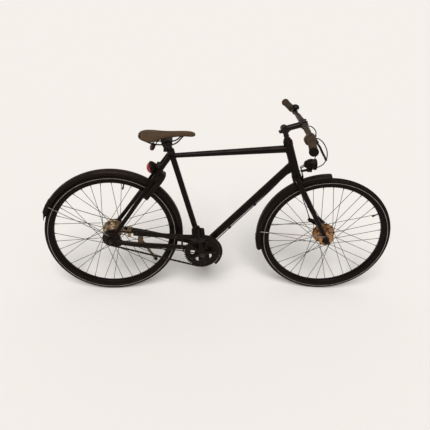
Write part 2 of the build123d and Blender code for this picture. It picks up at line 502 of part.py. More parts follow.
GEAR_CABLE_B = [(920, 33, 709), (897, 27, 697), under_down(858, 24.5, 13), under_down(815, 25.0, 4), under_down(772, 24.2, -2), under_down(728, 23.4, -5), under_down(684, 22.7, -7),
                under_down(640, 22.2, -8), under_down(596, 21.8, -9), under_down(552, 21.6, -10), under_down(516, 22.6, -12), (486, -16, 244), (455, -21, 240), (424, -25, 248), (392, -30, 259),
                (352, -35, 270), (312, -40.5, 277), (272, -46, 285), (232, -50.5, 292), (192, -55, 298.5), (152, -57, 305), (112, -58.6, 311), (76, -58.8, 316.5), (42, -57.4, 321.5)]
BRAKE_CABLE = [(952, -138, 975), (962, -104, 980), (960, -66, 984), (953, -28, 980), (954, 6, 967), (940, 28, 951), (908, 31, 947), (876, 28, 937), (860, 33, 910), (871, 37.5, 880), (888, 38.5, 850), (901, 39, 818),
               (914, 38, 783), (928, 42, 748), (938, 58, 716), (942, 68, 684), (956, 65, 645), (972, 60, 605), (987, 56.5, 565), (1004, 55, 525), (1022, 54, 485), (1038, 52, 449), (1048, 50, 422)]
LAMP_CABLE = [(944, -196, 950), (958, -176, 925), (968, -146, 890), (975, -110, 850), (980, -72, 815), (984, -38, 790), (985, -16, 780)]
cab_a, ra = tube_along(GEAR_CABLE_A, CABLE_R)
cab_b, rb = tube_along(GEAR_CABLE_B, CABLE_R)
cab_c, rc = tube_along(BRAKE_CABLE, CABLE_R)
cab_d, rd = tube_along(LAMP_CABLE, 1.8)
for n, rr, c, pts in (("gear a", ra, cab_a, GEAR_CABLE_A), ("gear b", rb, cab_b, GEAR_CABLE_B), ("brake", rc, cab_c, BRAKE_CABLE), ("lamp", rd, cab_d, LAMP_CABLE)):
    length = sum((V(pts[i + 1]) - V(pts[i])).length for i in range(len(pts) - 1))
    print("cable", n, "runs", round(length), "tube", round(c.volume / pi / (CABLE_R if n != "lamp" else 1.8) ** 2), "smallest radius", round(min(rr), 1))
solid_lever, solid_shift = STEERING["brake_lever"], STEERING["gear_shifter"]
cab_a = biggest(cab_a - solid_shift - solid_lever)
cab_c = biggest(cab_c - solid_lever - STEERING["front_brake"] - legs[1])
cab_d = biggest(cab_d - solid_lever - solid_shift - STEERING["headlight"])
STEERING["control_cables"] = [cab_a, cab_c, cab_d]
FRAME["gear_cable"] = biggest(cab_b - joint - down_tube - chain_stays[0])

# ---- lean ------------------------------------------------------------------


def flat(x):
    return solids(*(x if isinstance(x, (list, tuple)) else [x]))


def place(sh, steer=False):
    if steer:
        sh = sh.rotate(Axis(on_head(AXLE_Z), HEAD_DIR), STEER)
    sh = sh.rotate(Axis((0, 0, 0), (1, 0, 0)), -LEAN)
    sh = sh.rotate(Axis((0, 0, 0), (0, 1, 0)), PITCH)
    return Pos(ORIGIN_SHIFT[0], ORIGIN_SHIFT[1], LIFT) * sh


def spot(v, steer=False):
    w = V(v)
    if steer:
        w = Vertex(w.X, w.Y, w.Z).rotate(Axis(on_head(AXLE_Z), HEAD_DIR), STEER).center()
    w = w.rotate(Axis.X, -LEAN).rotate(Axis.Y, PITCH)
    return w + Vector(ORIGIN_SHIFT[0], ORIGIN_SHIFT[1], LIFT)


def aim(v, steer=False):
    w = V(v)
    if steer:
        w = w.rotate(Axis((0, 0, 0), HEAD_DIR), STEER)
    return w.rotate(Axis.X, -LEAN).rotate(Axis.Y, PITCH)


def tyre_low(steer):
    c = spot(AX_F if steer else AX_R, steer)
    n = aim((0, 1, 0), steer)
    return c.Z - (WHEEL_R - TYRE_R) * sqrt(1 - n.Z ** 2) - TYRE_R


PITCH, LIFT = 0.0, 0.0
for _ in range(4):
    lo_r, lo_f = tyre_low(False), tyre_low(True)
    PITCH += degrees((lo_f - lo_r) / WHEELBASE)
    LIFT -= tyre_low(False)

# ---- side stand, drawn where it rests: pivot on the left chain stay, foot on the floor ----
PIV = spot(STAND_PIVOT)
FOOT_R = 9.0
FOOT = Vector(spot((STAND_FOOT[0], 0, 0)).X, spot((0, 0, 0)).Y + STAND_FOOT[1], FOOT_R)
leg_dir = (FOOT - PIV).normalized()
fold_dir = aim(Vector(-1, 0.05, 0.06)).normalized()
nd = (leg_dir - fold_dir).normalized()
side = aim(Vector(0, 1, 0))
stand_axis = (side - nd * side.dot(nd)).normalized()
PIN_R, HUB_R = 5.0, 12.0
hub = rod(PIV - stand_axis * 9, PIV + stand_axis * 9, HUB_R)
leg_solid = rod(PIV + leg_dir * 4, FOOT - leg_dir * 12, 8.5, 7.2) + rod(FOOT - leg_dir * 22, FOOT, 8.2, FOOT_R) + ball(FOOT, FOOT_R)
leg_solid = leg_solid + hub - rod(PIV - stand_axis * 40, PIV - stand_axis * 9, 40) - rod(PIV - stand_axis * 12, PIV + stand_axis * 12, PIN_R + 0.06)
STAND["stand_leg"] = biggest(leg_solid)
bracket = [place(b) for b in flat(box(127, 155, 60, 76, 240, 322))][0]
bracket = bracket + rod(PIV - stand_axis * 26, PIV - stand_axis * 9.6, 13.0) - rod(PIV - stand_axis * 9.5, PIV + stand_axis * 40, 40)
bracket = bracket + rod(PIV - stand_axis * 12, PIV + stand_axis * 9, PIN_R)
bracket = bracket - [place(c) for c in flat(chain_stays[1])][0]
bracket = biggest(bracket)

# ---- write -----------------------------------------------------------------
FRAME["seat_stays"] = seat_stays
os.makedirs("parts", exist_ok=True)
lo, hi = Vector(1e9, 1e9, 1e9), Vector(-1e9, -1e9, -1e9)
placed = {}
for store, steer in ((FRAME, False), (REAR, False), (CRANK, False), (PEDR, False), (PEDL, False), (STEERING, True), (FRONT, True), (STAND, None)):
    for name, sh in store.items():
        ss = flat(sh)
        if steer is not None:
            ss = flat([place(s, steer) for s in ss])
        placed[name] = ss
placed["stand_bracket"] = [bracket]
for name, ss in placed.items():
    out = ss[0] if len(ss) == 1 else Compound(children=ss)
    export_step(out, "parts/" + name + ".step")
    b = out.bounding_box()
    lo = Vector(min(lo.X, b.min.X), min(lo.Y, b.min.Y), min(lo.Z, b.min.Z))
    hi = Vector(max(hi.X, b.max.X), max(hi.Y, b.max.Y), max(hi.Z, b.max.Z))
print("box", lo, hi, "centre", (lo + hi) * 0.5)
print("KEY lean", LEAN)
print("KEY pitch", PITCH)
print("KEY shift", ORIGIN_SHIFT[0], ORIGIN_SHIFT[1], LIFT)
print("KEY foot", FOOT.X, FOOT.Y, FOOT.Z)
POINTS = [("rear_axle", AX_R, False), ("front_axle", AX_F, True), ("crank", V(BB), False), ("steering", on_head(AXLE_Z), False), ("stand_pivot", STAND_PIVOT, False),
          ("right_pedal", Vector(*PEDAL_AT[-1]), False), ("left_pedal", Vector(*PEDAL_AT[1]), False),
          ("axle_end_right", Vector(0, -(AXLE_CORE_END + AXLE_END) / 2, AXLE_Z), False), ("axle_end_left", Vector(0, (AXLE_CORE_END + AXLE_END) / 2, AXLE_Z), False),
          ("rear_eye_right", Vector(RACK_EYE[0], -DROPOUT_Y, RACK_EYE[1]), False), ("rear_eye_left", Vector(RACK_EYE[0], DROPOUT_Y, RACK_EYE[1]), False)]
for n, p, st in POINTS:
    w = spot(p, st)
    print("KEY", n, w.X, w.Y, w.Z)
for n, p, st in (("side", Vector(0, 1, 0), False), ("front_side", Vector(0, 1, 0), True), ("head", HEAD_DIR, False), ("forward", Vector(1, 0, 0), False), ("up", Vector(0, 0, 1), False)):
    w = aim(p, st)
    print("KEY", n, w.X, w.Y, w.Z)
ax = stand_axis
pa, pb = leg_dir - ax * leg_dir.dot(ax), fold_dir - ax * fold_dir.dot(ax)
print("KEY stand_axis", ax.X, ax.Y, ax.Z)
print("KEY stand_fold", degrees(atan2(pa.cross(pb).dot(ax), pa.dot(pb))))
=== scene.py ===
from math import acos, atan2, cos, pi, radians, sin, sqrt, tan
import bmesh
import bpy
from mathutils import Matrix, Vector


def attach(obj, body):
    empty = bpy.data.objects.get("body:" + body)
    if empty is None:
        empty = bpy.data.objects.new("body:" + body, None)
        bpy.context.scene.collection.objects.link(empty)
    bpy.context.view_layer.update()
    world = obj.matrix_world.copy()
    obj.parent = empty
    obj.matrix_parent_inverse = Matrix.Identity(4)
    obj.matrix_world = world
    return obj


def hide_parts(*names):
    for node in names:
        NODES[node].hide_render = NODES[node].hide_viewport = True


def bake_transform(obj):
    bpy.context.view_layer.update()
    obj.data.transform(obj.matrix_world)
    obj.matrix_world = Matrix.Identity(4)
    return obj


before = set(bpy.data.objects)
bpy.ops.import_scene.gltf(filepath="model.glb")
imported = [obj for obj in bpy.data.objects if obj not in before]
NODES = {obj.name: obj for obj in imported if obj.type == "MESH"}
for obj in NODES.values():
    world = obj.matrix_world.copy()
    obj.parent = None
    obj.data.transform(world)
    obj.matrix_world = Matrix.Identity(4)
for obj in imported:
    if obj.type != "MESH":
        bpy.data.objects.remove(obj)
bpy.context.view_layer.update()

# ---- where the bicycle stands ---------------------------------------------
# Shapes are drawn in millimetres in the upright bicycle: X forward, Y left, Z up, rear axle above X = 0.
LEAN, STEER, PITCH = 5.0, -4.6, -0.013758851988086218
SHIFT = (-563.8483, -78.9426, -2.9200785634049)
AXLE_Z, WHEELBASE = 349.0, 1129.0
HEAD_ANGLE, AXIS_X = radians(70.0), 1057.6
HEAD_DIR = Vector((-cos(HEAD_ANGLE), 0, sin(HEAD_ANGLE)))
HEAD_FWD = Vector((sin(HEAD_ANGLE), 0, cos(HEAD_ANGLE)))
AX_R, AX_F = Vector((0, 0, AXLE_Z)), Vector((WHEELBASE, 0, AXLE_Z))
BB = Vector((469.0, 0.0, 270.0))
SIDE = Vector((0, 1, 0))


def on_head(z, forward=0.0, side=0.0):
    return Vector((AXIS_X - (z - AXLE_Z) / tan(HEAD_ANGLE), 0, z)) + HEAD_FWD * forward + Vector((0, side, 0))


TURN_ROW = Matrix.Rotation(radians(PITCH), 4, "Y") @ Matrix.Rotation(radians(-LEAN), 4, "X")
UPRIGHT = Matrix.Translation(Vector(SHIFT) * 0.001) @ TURN_ROW @ Matrix.Scale(0.001, 4)
STEERED = UPRIGHT @ Matrix.Translation(on_head(AXLE_Z)) @ Matrix.Rotation(radians(STEER), 4, HEAD_DIR) @ Matrix.Translation(-on_head(AXLE_Z))
ROW = Matrix.Scale(0.001, 4)

# ---- camera ------------------------------------------------------------------
AZ, EL, ROLL, DIST = -3.972, 21.228, 2.692, 2035.0
TARGET, FOCAL, CENTRE = Vector((406.0, 0.0, 881.0)), 421.739, (194.571, 140.0)
PICTURE = 430.0
a, e, r = radians(AZ), radians(EL), radians(ROLL)
back = Vector((sin(a) * cos(e), -cos(a) * cos(e), sin(e)))
right = Vector((cos(a), sin(a), 0))
up = back.cross(right)
right, up = right * cos(r) + up * sin(r), up * cos(r) - right * sin(r)
cam = bpy.data.objects.new("camera", bpy.data.cameras.new("camera"))
bpy.context.scene.collection.objects.link(cam)
turn = TURN_ROW.to_3x3()
axes = Matrix((turn @ right, turn @ up, turn @ back)).transposed().to_4x4()
cam.matrix_world = Matrix.Translation(UPRIGHT @ (TARGET + back * DIST)) @ axes
cam.data.sensor_width = 36.0
cam.data.sensor_fit = "HORIZONTAL"
cam.data.lens = FOCAL / PICTURE * 36.0
cam.data.shift_x = (PICTURE / 2 - CENTRE[0]) / PICTURE
cam.data.shift_y = -(PICTURE / 2 - CENTRE[1]) / PICTURE
cam.data.clip_start, cam.data.clip_end = 0.05, 200.0
bpy.context.scene.camera = cam


# ---- materials -----------------------------------------------------------------
def finish(name, light, dark, rough, metallic=0.0, shine=0.5, spots=30.0, grain=900.0, bump=0.08, depth=0.0002, coat=0.0, coat_rough=0.15,
           cells=0.0, worn=None, dust_and_top_highlight=None, sheen=0.0):
    """A surface of two mixed tones with its own grain. worn: a tone that shows in fine scratches. dust: a lighter tone
    mixed in patches onto what faces up, a painted highlight of the light from above together with settled dirt.
    """
    m = bpy.data.materials.new(name)
    m.use_nodes = True
    t = m.node_tree
    b = t.nodes["Principled BSDF"]
    b.inputs["Metallic"].default_value = metallic
    b.inputs["Specular IOR Level"].default_value = shine
    b.inputs["Coat Weight"].default_value = coat
    b.inputs["Coat Roughness"].default_value = coat_rough
    b.inputs["Sheen Weight"].default_value = sheen
    where = t.nodes.new("ShaderNodeTexCoord")

    def noise(scale, detail=3.0, roughness=0.55):
        n = t.nodes.new("ShaderNodeTexNoise")
        n.inputs["Scale"].default_value = scale
        n.inputs["Detail"].default_value = detail
        n.inputs["Roughness"].default_value = roughness
        t.links.new(where.outputs["Object"], n.inputs["Vector"])
        return n

    def spread(source, lo, hi, out_lo=0.0, out_hi=1.0):
        n = t.nodes.new("ShaderNodeMapRange")
        n.inputs["From Min"].default_value, n.inputs["From Max"].default_value = lo, hi
        n.inputs["To Min"].default_value, n.inputs["To Max"].default_value = out_lo, out_hi
        t.links.new(source, n.inputs["Value"])
        return n.outputs["Result"]

    def mix(factor, one, two):
        n = t.nodes.new("ShaderNodeMix")
        n.data_type = "RGBA"
        t.links.new(factor, n.inputs["Factor"])
        for socket, value in (("A", one), ("B", two)):
            if isinstance(value, tuple):
                n.inputs[[i for i, s in enumerate(n.inputs) if s.name == socket and s.type == "RGBA"][0]].default_value = (*value, 1.0)
            else:
                t.links.new(value, n.inputs[[i for i, s in enumerate(n.inputs) if s.name == socket and s.type == "RGBA"][0]])
        return [s for s in n.outputs if s.type == "RGBA"][0]

    broad, fine = noise(spots, 4.0), noise(grain, 2.0)
    colour = mix(spread(broad.outputs["Fac"], 0.32, 0.68), dark, light)
    if worn:
        stretched = t.nodes.new("ShaderNodeMapping")
        stretched.inputs["Scale"].default_value = (35.0, 260.0, 190.0)
        stretched.inputs["Rotation"].default_value = (0.3, 0.5, 0.2)
        t.links.new(where.outputs["Object"], stretched.inputs["Vector"])
        s = t.nodes.new("ShaderNodeTexNoise")
        s.inputs["Scale"].default_value = 1.0
        s.inputs["Detail"].default_value = 5.0
        t.links.new(stretched.outputs["Vector"], s.inputs["Vector"])
        colour = mix(spread(s.outputs["Fac"], 0.66, 0.74, 0.0, 0.6), colour, worn)
    # painted highlight: a lighter tone mixed in patches onto faces that look up, where the light from above falls,
    # blended with settled dirt
    if dust_and_top_highlight:
        g = t.nodes.new("ShaderNodeNewGeometry")
        split = t.nodes.new("ShaderNodeSeparateXYZ")
        t.links.new(g.outputs["Normal"], split.inputs["Vector"])
        top_highlight_and_dirt_mask = t.nodes.new("ShaderNodeMath")
        top_highlight_and_dirt_mask.operation = "MULTIPLY"
        t.links.new(spread(split.outputs["Z"], 0.35, 1.0, 0.0, 0.8), top_highlight_and_dirt_mask.inputs[0])
        t.links.new(spread(noise(spots * 2.3, 5.0).outputs["Fac"], 0.3, 0.7), top_highlight_and_dirt_mask.inputs[1])
        colour = mix(top_highlight_and_dirt_mask.outputs["Value"], colour, dust_and_top_highlight)
    t.links.new(colour, b.inputs["Base Color"])
    t.links.new(spread(noise(spots * 3.1, 4.0).outputs["Fac"], 0.3, 0.7, rough[0], rough[1]), b.inputs["Roughness"])
    bp = t.nodes.new("ShaderNodeBump")
    bp.inputs["Strength"].default_value = bump
    bp.inputs["Distance"].default_value = depth
    height = fine.outputs["Fac"]
    if cells:
        v = t.nodes.new("ShaderNodeTexVoronoi")
        v.feature = "DISTANCE_TO_EDGE"
        v.inputs["Scale"].default_value = cells
        t.links.new(where.outputs["Object"], v.inputs["Vector"])
        add = t.nodes.new("ShaderNodeMath")
        add.operation = "ADD"
        t.links.new(spread(v.outputs["Distance"], 0.0, 0.22), add.inputs[0])
        t.links.new(fine.outputs["Fac"], add.inputs[1])
        height = add.outputs["Value"]
    t.links.new(height, bp.inputs["Height"])
    t.links.new(bp.outputs["Normal"], b.inputs["Normal"])
    return m


# frame_paint, black_plastic, tyre_rubber and saddle_cover carry a top tone: a painted highlight on their upward faces,
# with settled dirt
PAINT = finish("frame_paint", (0.0062, 0.0030, 0.0016), (0.0034, 0.0015, 0.0007), (0.30, 0.42), shine=0.09, spots=9, grain=1400, bump=0.05, depth=0.0001, dust_and_top_highlight=(0.040, 0.024, 0.0165))
BLACK_METAL = finish("black_metal", (0.0080, 0.0046, 0.0028), (0.0042, 0.0022, 0.0012), (0.26, 0.38), shine=0.16, spots=22, grain=1600, bump=0.06, depth=0.0001, worn=(0.030, 0.022, 0.015))
BAR_METAL = finish("bar_metal", (0.052, 0.031, 0.017), (0.022, 0.0125, 0.0068), (0.34, 0.46), shine=0.16, spots=16, grain=1500, bump=0.06, depth=0.0001)
PLASTIC = finish("black_plastic", (0.0085, 0.0048, 0.0028), (0.0044, 0.0023, 0.0012), (0.36, 0.50), shine=0.10, spots=14, grain=1100, bump=0.12, depth=0.00015, dust_and_top_highlight=(0.030, 0.016, 0.0105))
CABLE = finish("cable_cover", (0.020, 0.015, 0.011), (0.010, 0.0072, 0.0050), (0.36, 0.48), shine=0.2, spots=60, grain=2200, bump=0.05, depth=0.0001)
TYRE = finish("tyre_rubber", (0.0110, 0.0066, 0.0040), (0.0046, 0.0024, 0.0013), (0.62, 0.80), shine=0.08, spots=26, grain=1300, bump=0.35, depth=0.0003, dust_and_top_highlight=(0.026, 0.0165, 0.0105))
RIM = finish("rim_black", (0.0062, 0.0030, 0.0016), (0.0032, 0.0014, 0.0007), (0.30, 0.42), shine=0.08, spots=30, grain=1500, bump=0.06, depth=0.0001)
STRIPE = finish("tyre_stripe", (0.34, 0.31, 0.28), (0.17, 0.15, 0.13), (0.40, 0.55), shine=0.5, spots=40, grain=1800, bump=0.12, depth=0.0001)
STEEL = finish("spoke_steel", (0.022, 0.018, 0.015), (0.011, 0.0085, 0.007), (0.36, 0.48), metallic=0.0, shine=0.12, spots=60, grain=2500, bump=0.04, depth=0.00005)
BRIGHT = finish("stay_steel", (0.26, 0.235, 0.21), (0.12, 0.105, 0.092), (0.26, 0.38), metallic=0.8, shine=0.4, spots=30, grain=2500, bump=0.04, depth=0.00005)
ZINC = finish("zinc_steel", (0.060, 0.047, 0.036), (0.024, 0.018, 0.013), (0.30, 0.45), metallic=0.7, spots=70, grain=1800, bump=0.1, depth=0.0001, worn=(0.16, 0.14, 0.12))
HUB_TAN = finish("hub_tan", (0.70, 0.50, 0.32), (0.16, 0.095, 0.050), (0.24, 0.42), metallic=0.85, spots=52, grain=1500, bump=0.2, depth=0.0002, worn=(0.05, 0.03, 0.018))
HUB_BRONZE = finish("hub_bronze", (0.56, 0.290, 0.125), (0.20, 0.090, 0.034), (0.30, 0.46), metallic=0.75, spots=44, grain=1500, bump=0.16, depth=0.0002, worn=(0.07, 0.032, 0.014))
ARM_TAN = finish("arm_tan", (0.26, 0.165, 0.095), (0.075, 0.045, 0.025), (0.34, 0.5), metallic=0.7, spots=60, grain=1500, bump=0.12, depth=0.0001, worn=(0.03, 0.018, 0.010))
STAND_TAN = finish("stand_metal", (0.20, 0.135, 0.085), (0.085, 0.056, 0.034), (0.36, 0.52), metallic=0.7, spots=44, grain=1400, bump=0.14, depth=0.0001, worn=(0.36, 0.29, 0.22))
CHAIN = finish("chain_steel", (0.030, 0.019, 0.012), (0.010, 0.0060, 0.0036), (0.32, 0.5), metallic=0.6, shine=0.3, spots=120, grain=2200, bump=0.15, depth=0.0001, worn=(0.09, 0.068, 0.050))
RING = finish("ring_black", (0.0085, 0.0042, 0.0024), (0.0040, 0.0019, 0.0010), (0.30, 0.46), shine=0.10, spots=36, grain=1500, bump=0.1, depth=0.0001, worn=(0.060, 0.036, 0.026))
LEATHER = finish("saddle_cover", (0.088, 0.052, 0.0265), (0.050, 0.0285, 0.0140), (0.46, 0.62), shine=0.07, spots=13, grain=1500, bump=0.30, depth=0.0004, cells=620, dust_and_top_highlight=(0.100, 0.062, 0.034))
SADDLE_BASE = finish("saddle_base", (0.0060, 0.0034, 0.0020), (0.0034, 0.0018, 0.0010), (0.5, 0.62), shine=0.1, spots=30, grain=1200, bump=0.2, depth=0.0002)
RUBBER = finish("grip_rubber", (0.068, 0.045, 0.024), (0.031, 0.020, 0.0108), (0.55, 0.72), shine=0.12, spots=34, grain=1300, bump=0.3, depth=0.0003, cells=900)
RUBBER_BLACK = finish("black_rubber", (0.0082, 0.0048, 0.0030), (0.0040, 0.0022, 0.0013), (0.6, 0.75), shine=0.09, spots=34, grain=1300, bump=0.3, depth=0.0003)
SHIFTER = finish("shifter_body", (0.105, 0.052, 0.030), (0.036, 0.019, 0.0115), (0.40, 0.55), shine=0.2, spots=28, grain=1200, bump=0.15, depth=0.0002)
RED_LENS = finish("red_lens", (0.46, 0.016, 0.036), (0.22, 0.006, 0.014), (0.10, 0.18), shine=0.5, spots=60, grain=500, bump=0.25, depth=0.0005, coat=0.5, coat_rough=0.06, cells=260)
DARK_RED = finish("dark_red_lens", (0.130, 0.006, 0.026), (0.040, 0.0022, 0.008), (0.2, 0.3), shine=0.2, spots=60, grain=500, bump=0.25, depth=0.0005, coat=0.1, coat_rough=0.1, cells=260)
MIRROR = finish("lamp_dish", (0.75, 0.75, 0.74), (0.60, 0.60, 0.59), (0.08, 0.16), metallic=1.0, spots=40, grain=600, bump=0.1, depth=0.0003, cells=180)
LED = finish("lamp_led", (0.75, 0.68, 0.30), (0.55, 0.48, 0.18), (0.3, 0.4), shine=0.5, spots=200, grain=900, bump=0.1, depth=0.0001)


def clear_lens():
    m = finish("clear_lens", (0.95, 0.95, 0.94), (0.88, 0.88, 0.86), (0.03, 0.07), shine=0.5, spots=30, grain=300, bump=0.06, depth=0.0003)
    b = m.node_tree.nodes["Principled BSDF"]
    b.inputs["Transmission Weight"].default_value = 0.95
    b.inputs["IOR"].default_value = 1.49
    return m


CLEAR = clear_lens()

FINISH_OF = {
    "head_tube": PAINT, "top_tube": PAINT, "down_tube": PAINT, "seat_tube": PAINT, "bottom_bracket_shell": PAINT, "chain_stays": PAINT, "seat_stays": PAINT,
    "frame_ends": PAINT, "fork_crown": PAINT, "fork_legs": PAINT, "rear_axle": ZINC, "front_axle": ZINC, "gear_cable_joint": BLACK_METAL, "rear_brake_arm": HUB_TAN,
    "seat_collar": BLACK_METAL, "saddle_rails": BLACK_METAL, "seat_post": BLACK_METAL, "saddle": LEATHER, "rear_mudguard": PLASTIC, "rear_mudguard_stays": BRIGHT,
    "rear_light": PLASTIC, "ring_lock": PLASTIC, "chain": CHAIN, "chain_guard": PLASTIC, "gear_cable": CABLE, "stand_bracket": STAND_TAN, "front_mudguard": PLASTIC,
    "front_mudguard_stays": BRIGHT, "front_brake": BLACK_METAL, "stem": BLACK_METAL, "handlebar": BAR_METAL, "grips": RUBBER, "gear_shifter": SHIFTER,
    "brake_lever": BLACK_METAL, "bell": BLACK_METAL, "headlight": PLASTIC, "control_cables": CABLE, "rear_tyre": TYRE, "rear_rim": RIM, "rear_hub": HUB_TAN,
    "rear_spokes": STEEL, "rear_sprocket": CHAIN, "front_tyre": TYRE, "front_rim": RIM, "front_hub": HUB_BRONZE, "front_spokes": STEEL, "chainring": RING,
    "crank_arms": RING, "right_pedal": RUBBER_BLACK, "left_pedal": RUBBER_BLACK, "stand_leg": STAND_TAN,
}
for name, node in NODES.items():
    node.data.materials.clear()
    node.data.materials.append(FINISH_OF[name])


# ---- shapes --------------------------------------------------------------------
class Shape:
    """Points in millimetres, faces, and each face's material number."""

    def __init__(self):
        self.v, self.f, self.m = [], [], []

    def add(self, made, mat=0, at=None):
        v, f = made
        n = len(self.v)
        self.v += [(at @ Vector(p)) if at is not None else Vector(p) for p in v]
        self.f += [tuple(i + n for i in face) for face in f]
        self.m += [mat] * len(f)
        return self


def basis(axis):
    d = Vector(axis).normalized()
    x = Vector((0, 0, 1)) if abs(d.z) < 0.9 else Vector((1, 0, 0))
    x = (x - d * x.dot(d)).normalized()
    return x, d.cross(x), d


def skin(rings, loop=False, caps=(True, True)):
    n, m = len(rings[0]), len(rings)
    v, f = [p for ring in rings for p in ring], []
    for i in range(m if loop else m - 1):
        a, b = i * n, ((i + 1) % m) * n
        f += [(a + j, a + (j + 1) % n, b + (j + 1) % n, b + j) for j in range(n)]
    if not loop and caps[0]:
        f.append(tuple(range(n - 1, -1, -1)))
    if not loop and caps[1]:
        f.append(tuple((m - 1) * n + j for j in range(n)))
    return v, f


def turned(profile, at, axis, segs=32, loop=False, hexed=()):
    """profile of (radius, along) turned about the axis. Rings numbered in hexed are hexagons of that width across flats / 2."""
    x, y, d = basis(axis)
    rings = []
    for i, (r, h) in enumerate(profile):
        ring = []
        for k in range(segs):
            t = 2 * pi * k / segs
            q = max(r, 0.01)
            if i in hexed:
                q = q / cos((t + pi / 6) % (pi / 3) - pi / 6)
            ring.append(Vector(at) + d * h + x * (q * cos(t)) + y * (q * sin(t)))
        rings.append(ring)
    return skin(rings, loop)


def smooth_line(points, steps=8):
    """A Catmull-Rom line through the points."""
    ps = [Vector(p) for p in points]
    ps = [ps[0] * 2 - ps[1]] + ps + [ps[-1] * 2 - ps[-2]]
    out = []
    for i in range(1, len(ps) - 2):
        for k in range(steps):
            t = k / steps
            a, b, c, d = ps[i - 1:i + 3]
            out.append(0.5 * ((2 * b) + (c - a) * t + (2 * a - 5 * b + 4 * c - d) * t * t + (3 * b - a - 3 * c + d) * t ** 3))
    return out + [ps[-2]]


def pipe(points, radius, segs=12, loop=False, flat=1.0, up=None, caps=True):
    """A round pipe along the points; flat squeezes it across `up`. radius is a number or one for each point."""
    ps = [Vector(p) for p in points]
    n = len(ps)
    radii = radius if isinstance(radius, (list, tuple)) else [radius] * n
    rings, x = [], None
    for i, p in enumerate(ps):
        a, b = (ps[(i - 1) % n], ps[(i + 1) % n]) if loop else (ps[max(i - 1, 0)], ps[min(i + 1, n - 1)])
        d = (b - a).normalized()
        if up is not None:
            x = (Vector(up) - d * Vector(up).dot(d)).normalized()
        elif x is None:
            x = basis(d)[0]
        else:
            x = (x - d * x.dot(d)).normalized()
        y = d.cross(x)
        rings.append([p + x * (radii[i] * flat * cos(2 * pi * k / segs)) + y * (radii[i] * sin(2 * pi * k / segs)) for k in range(segs)])
    return skin(rings, loop, (caps, caps))


def nut(at, axis, across, height, bore, washer=0.0):
    """A hexagon nut with chamfered corners, and its washer under it."""
    s, a = Shape(), across / 2
    s.add(turned([(bore, 0.2), (a * 0.985, 0.0), (a, 0.7), (a, height - 0.9), (a * 0.93, height), (bore + 0.7, height), (bore, height - 0.7)], Vector(at) + Vector(axis).normalized() * washer,
                 axis, 48, True, hexed=(1, 2, 3)))
    if washer:
        s.add(turned([(bore, 0), (a * 1.22, 0), (a * 1.25, washer * 0.3), (a * 1.22, washer), (bore, washer)], at, axis, 36, True))
    return s.v, s.f


def bolt(at, axis, r, h=None, key=None):
    """A domed bolt head with a hexagon socket."""
    h, key = h or r * 0.62, key or r * 0.46
    return turned([(0, h * 0.35), (key, h * 0.35), (key, h * 0.98), (key * 1.25, h), (r * 0.72, h * 0.9), (r * 0.92, h * 0.62), (r, h * 0.3), (r, 0), (0, 0)], at, axis, 36, False, hexed=(1, 2))


def plate2d(outline, holes, thick, to_row, bevel=0.3):
    """A flat plate cut from a closed outline with holes, put in place by a matrix from its X, Y plane, thickness along Z."""
    c = bpy.data.curves.new("outline", "CURVE")
    c.dimensions = "2D"
    c.fill_mode = "BOTH"
    c.extrude = thick / 2 - bevel
    c.bevel_depth = bevel
    c.bevel_resolution = 1
    c.offset = -bevel
    for ring in [outline] + list(holes):
        s = c.splines.new("POLY")
        s.points.add(len(ring) - 1)
        for p, q in zip(s.points, ring):
            p.co = (q[0], q[1], 0, 1)
        s.use_cyclic_u = True
    o = bpy.data.objects.new("outline", c)
    bpy.context.scene.collection.objects.link(o)
    me = bpy.data.meshes.new_from_object(o.evaluated_get(bpy.context.evaluated_depsgraph_get()))
    v, f = [to_row @ p.co for p in me.vertices], [tuple(p.vertices) for p in me.polygons]
    bpy.data.objects.remove(o)
    bpy.data.curves.remove(c)
    bpy.data.meshes.remove(me)
    return v, f


def piece(name, shape, mats, body, space=None, smooth=38.0, replaces=(), merge=0.02, subdivide=0):
    """Makes the object from a shape, rides it on its body and gives it its materials."""
    if not isinstance(shape, Shape):
        shape = Shape().add(shape)
    m = space if space is not None else (STEERED if body in ("steering", "front_wheel") else UPRIGHT)
    me = bpy.data.meshes.new(name)
    me.from_pydata([m @ p for p in shape.v], [], shape.f)
    me.polygons.foreach_set("material_index", shape.m)
    for one in (mats if isinstance(mats, (list, tuple)) else [mats]):
        me.materials.append(one)
    b = bmesh.new()
    b.from_mesh(me)
    bmesh.ops.remove_doubles(b, verts=b.verts, dist=merge * 0.001)
    bmesh.ops.recalc_face_normals(b, faces=b.faces)
    b.to_mesh(me)
    b.free()
    me.shade_smooth()
    me.set_sharp_from_angle(angle=radians(smooth))
    o = bpy.data.objects.new(name, me)
    bpy.context.scene.collection.objects.link(o)
    if subdivide:
        mod = o.modifiers.new("smooth", "SUBSURF")
        mod.levels = mod.render_levels = subdivide
    if body:
        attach(o, body)
    if replaces:
        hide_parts(*replaces)
    return o


def polar(c, r, angle, y=0.0):
    a = radians(angle)
    return Vector((c.x + r * cos(a), c.y + y, c.z + r * sin(a)))


# ---- wheels --------------------------------------------------------------------
RIM_IN, WHEEL_R, TYRE_R, SPOKES = 297.5, 346.0, 18.0, 36
BLOCKS, STEPS = 150, 6


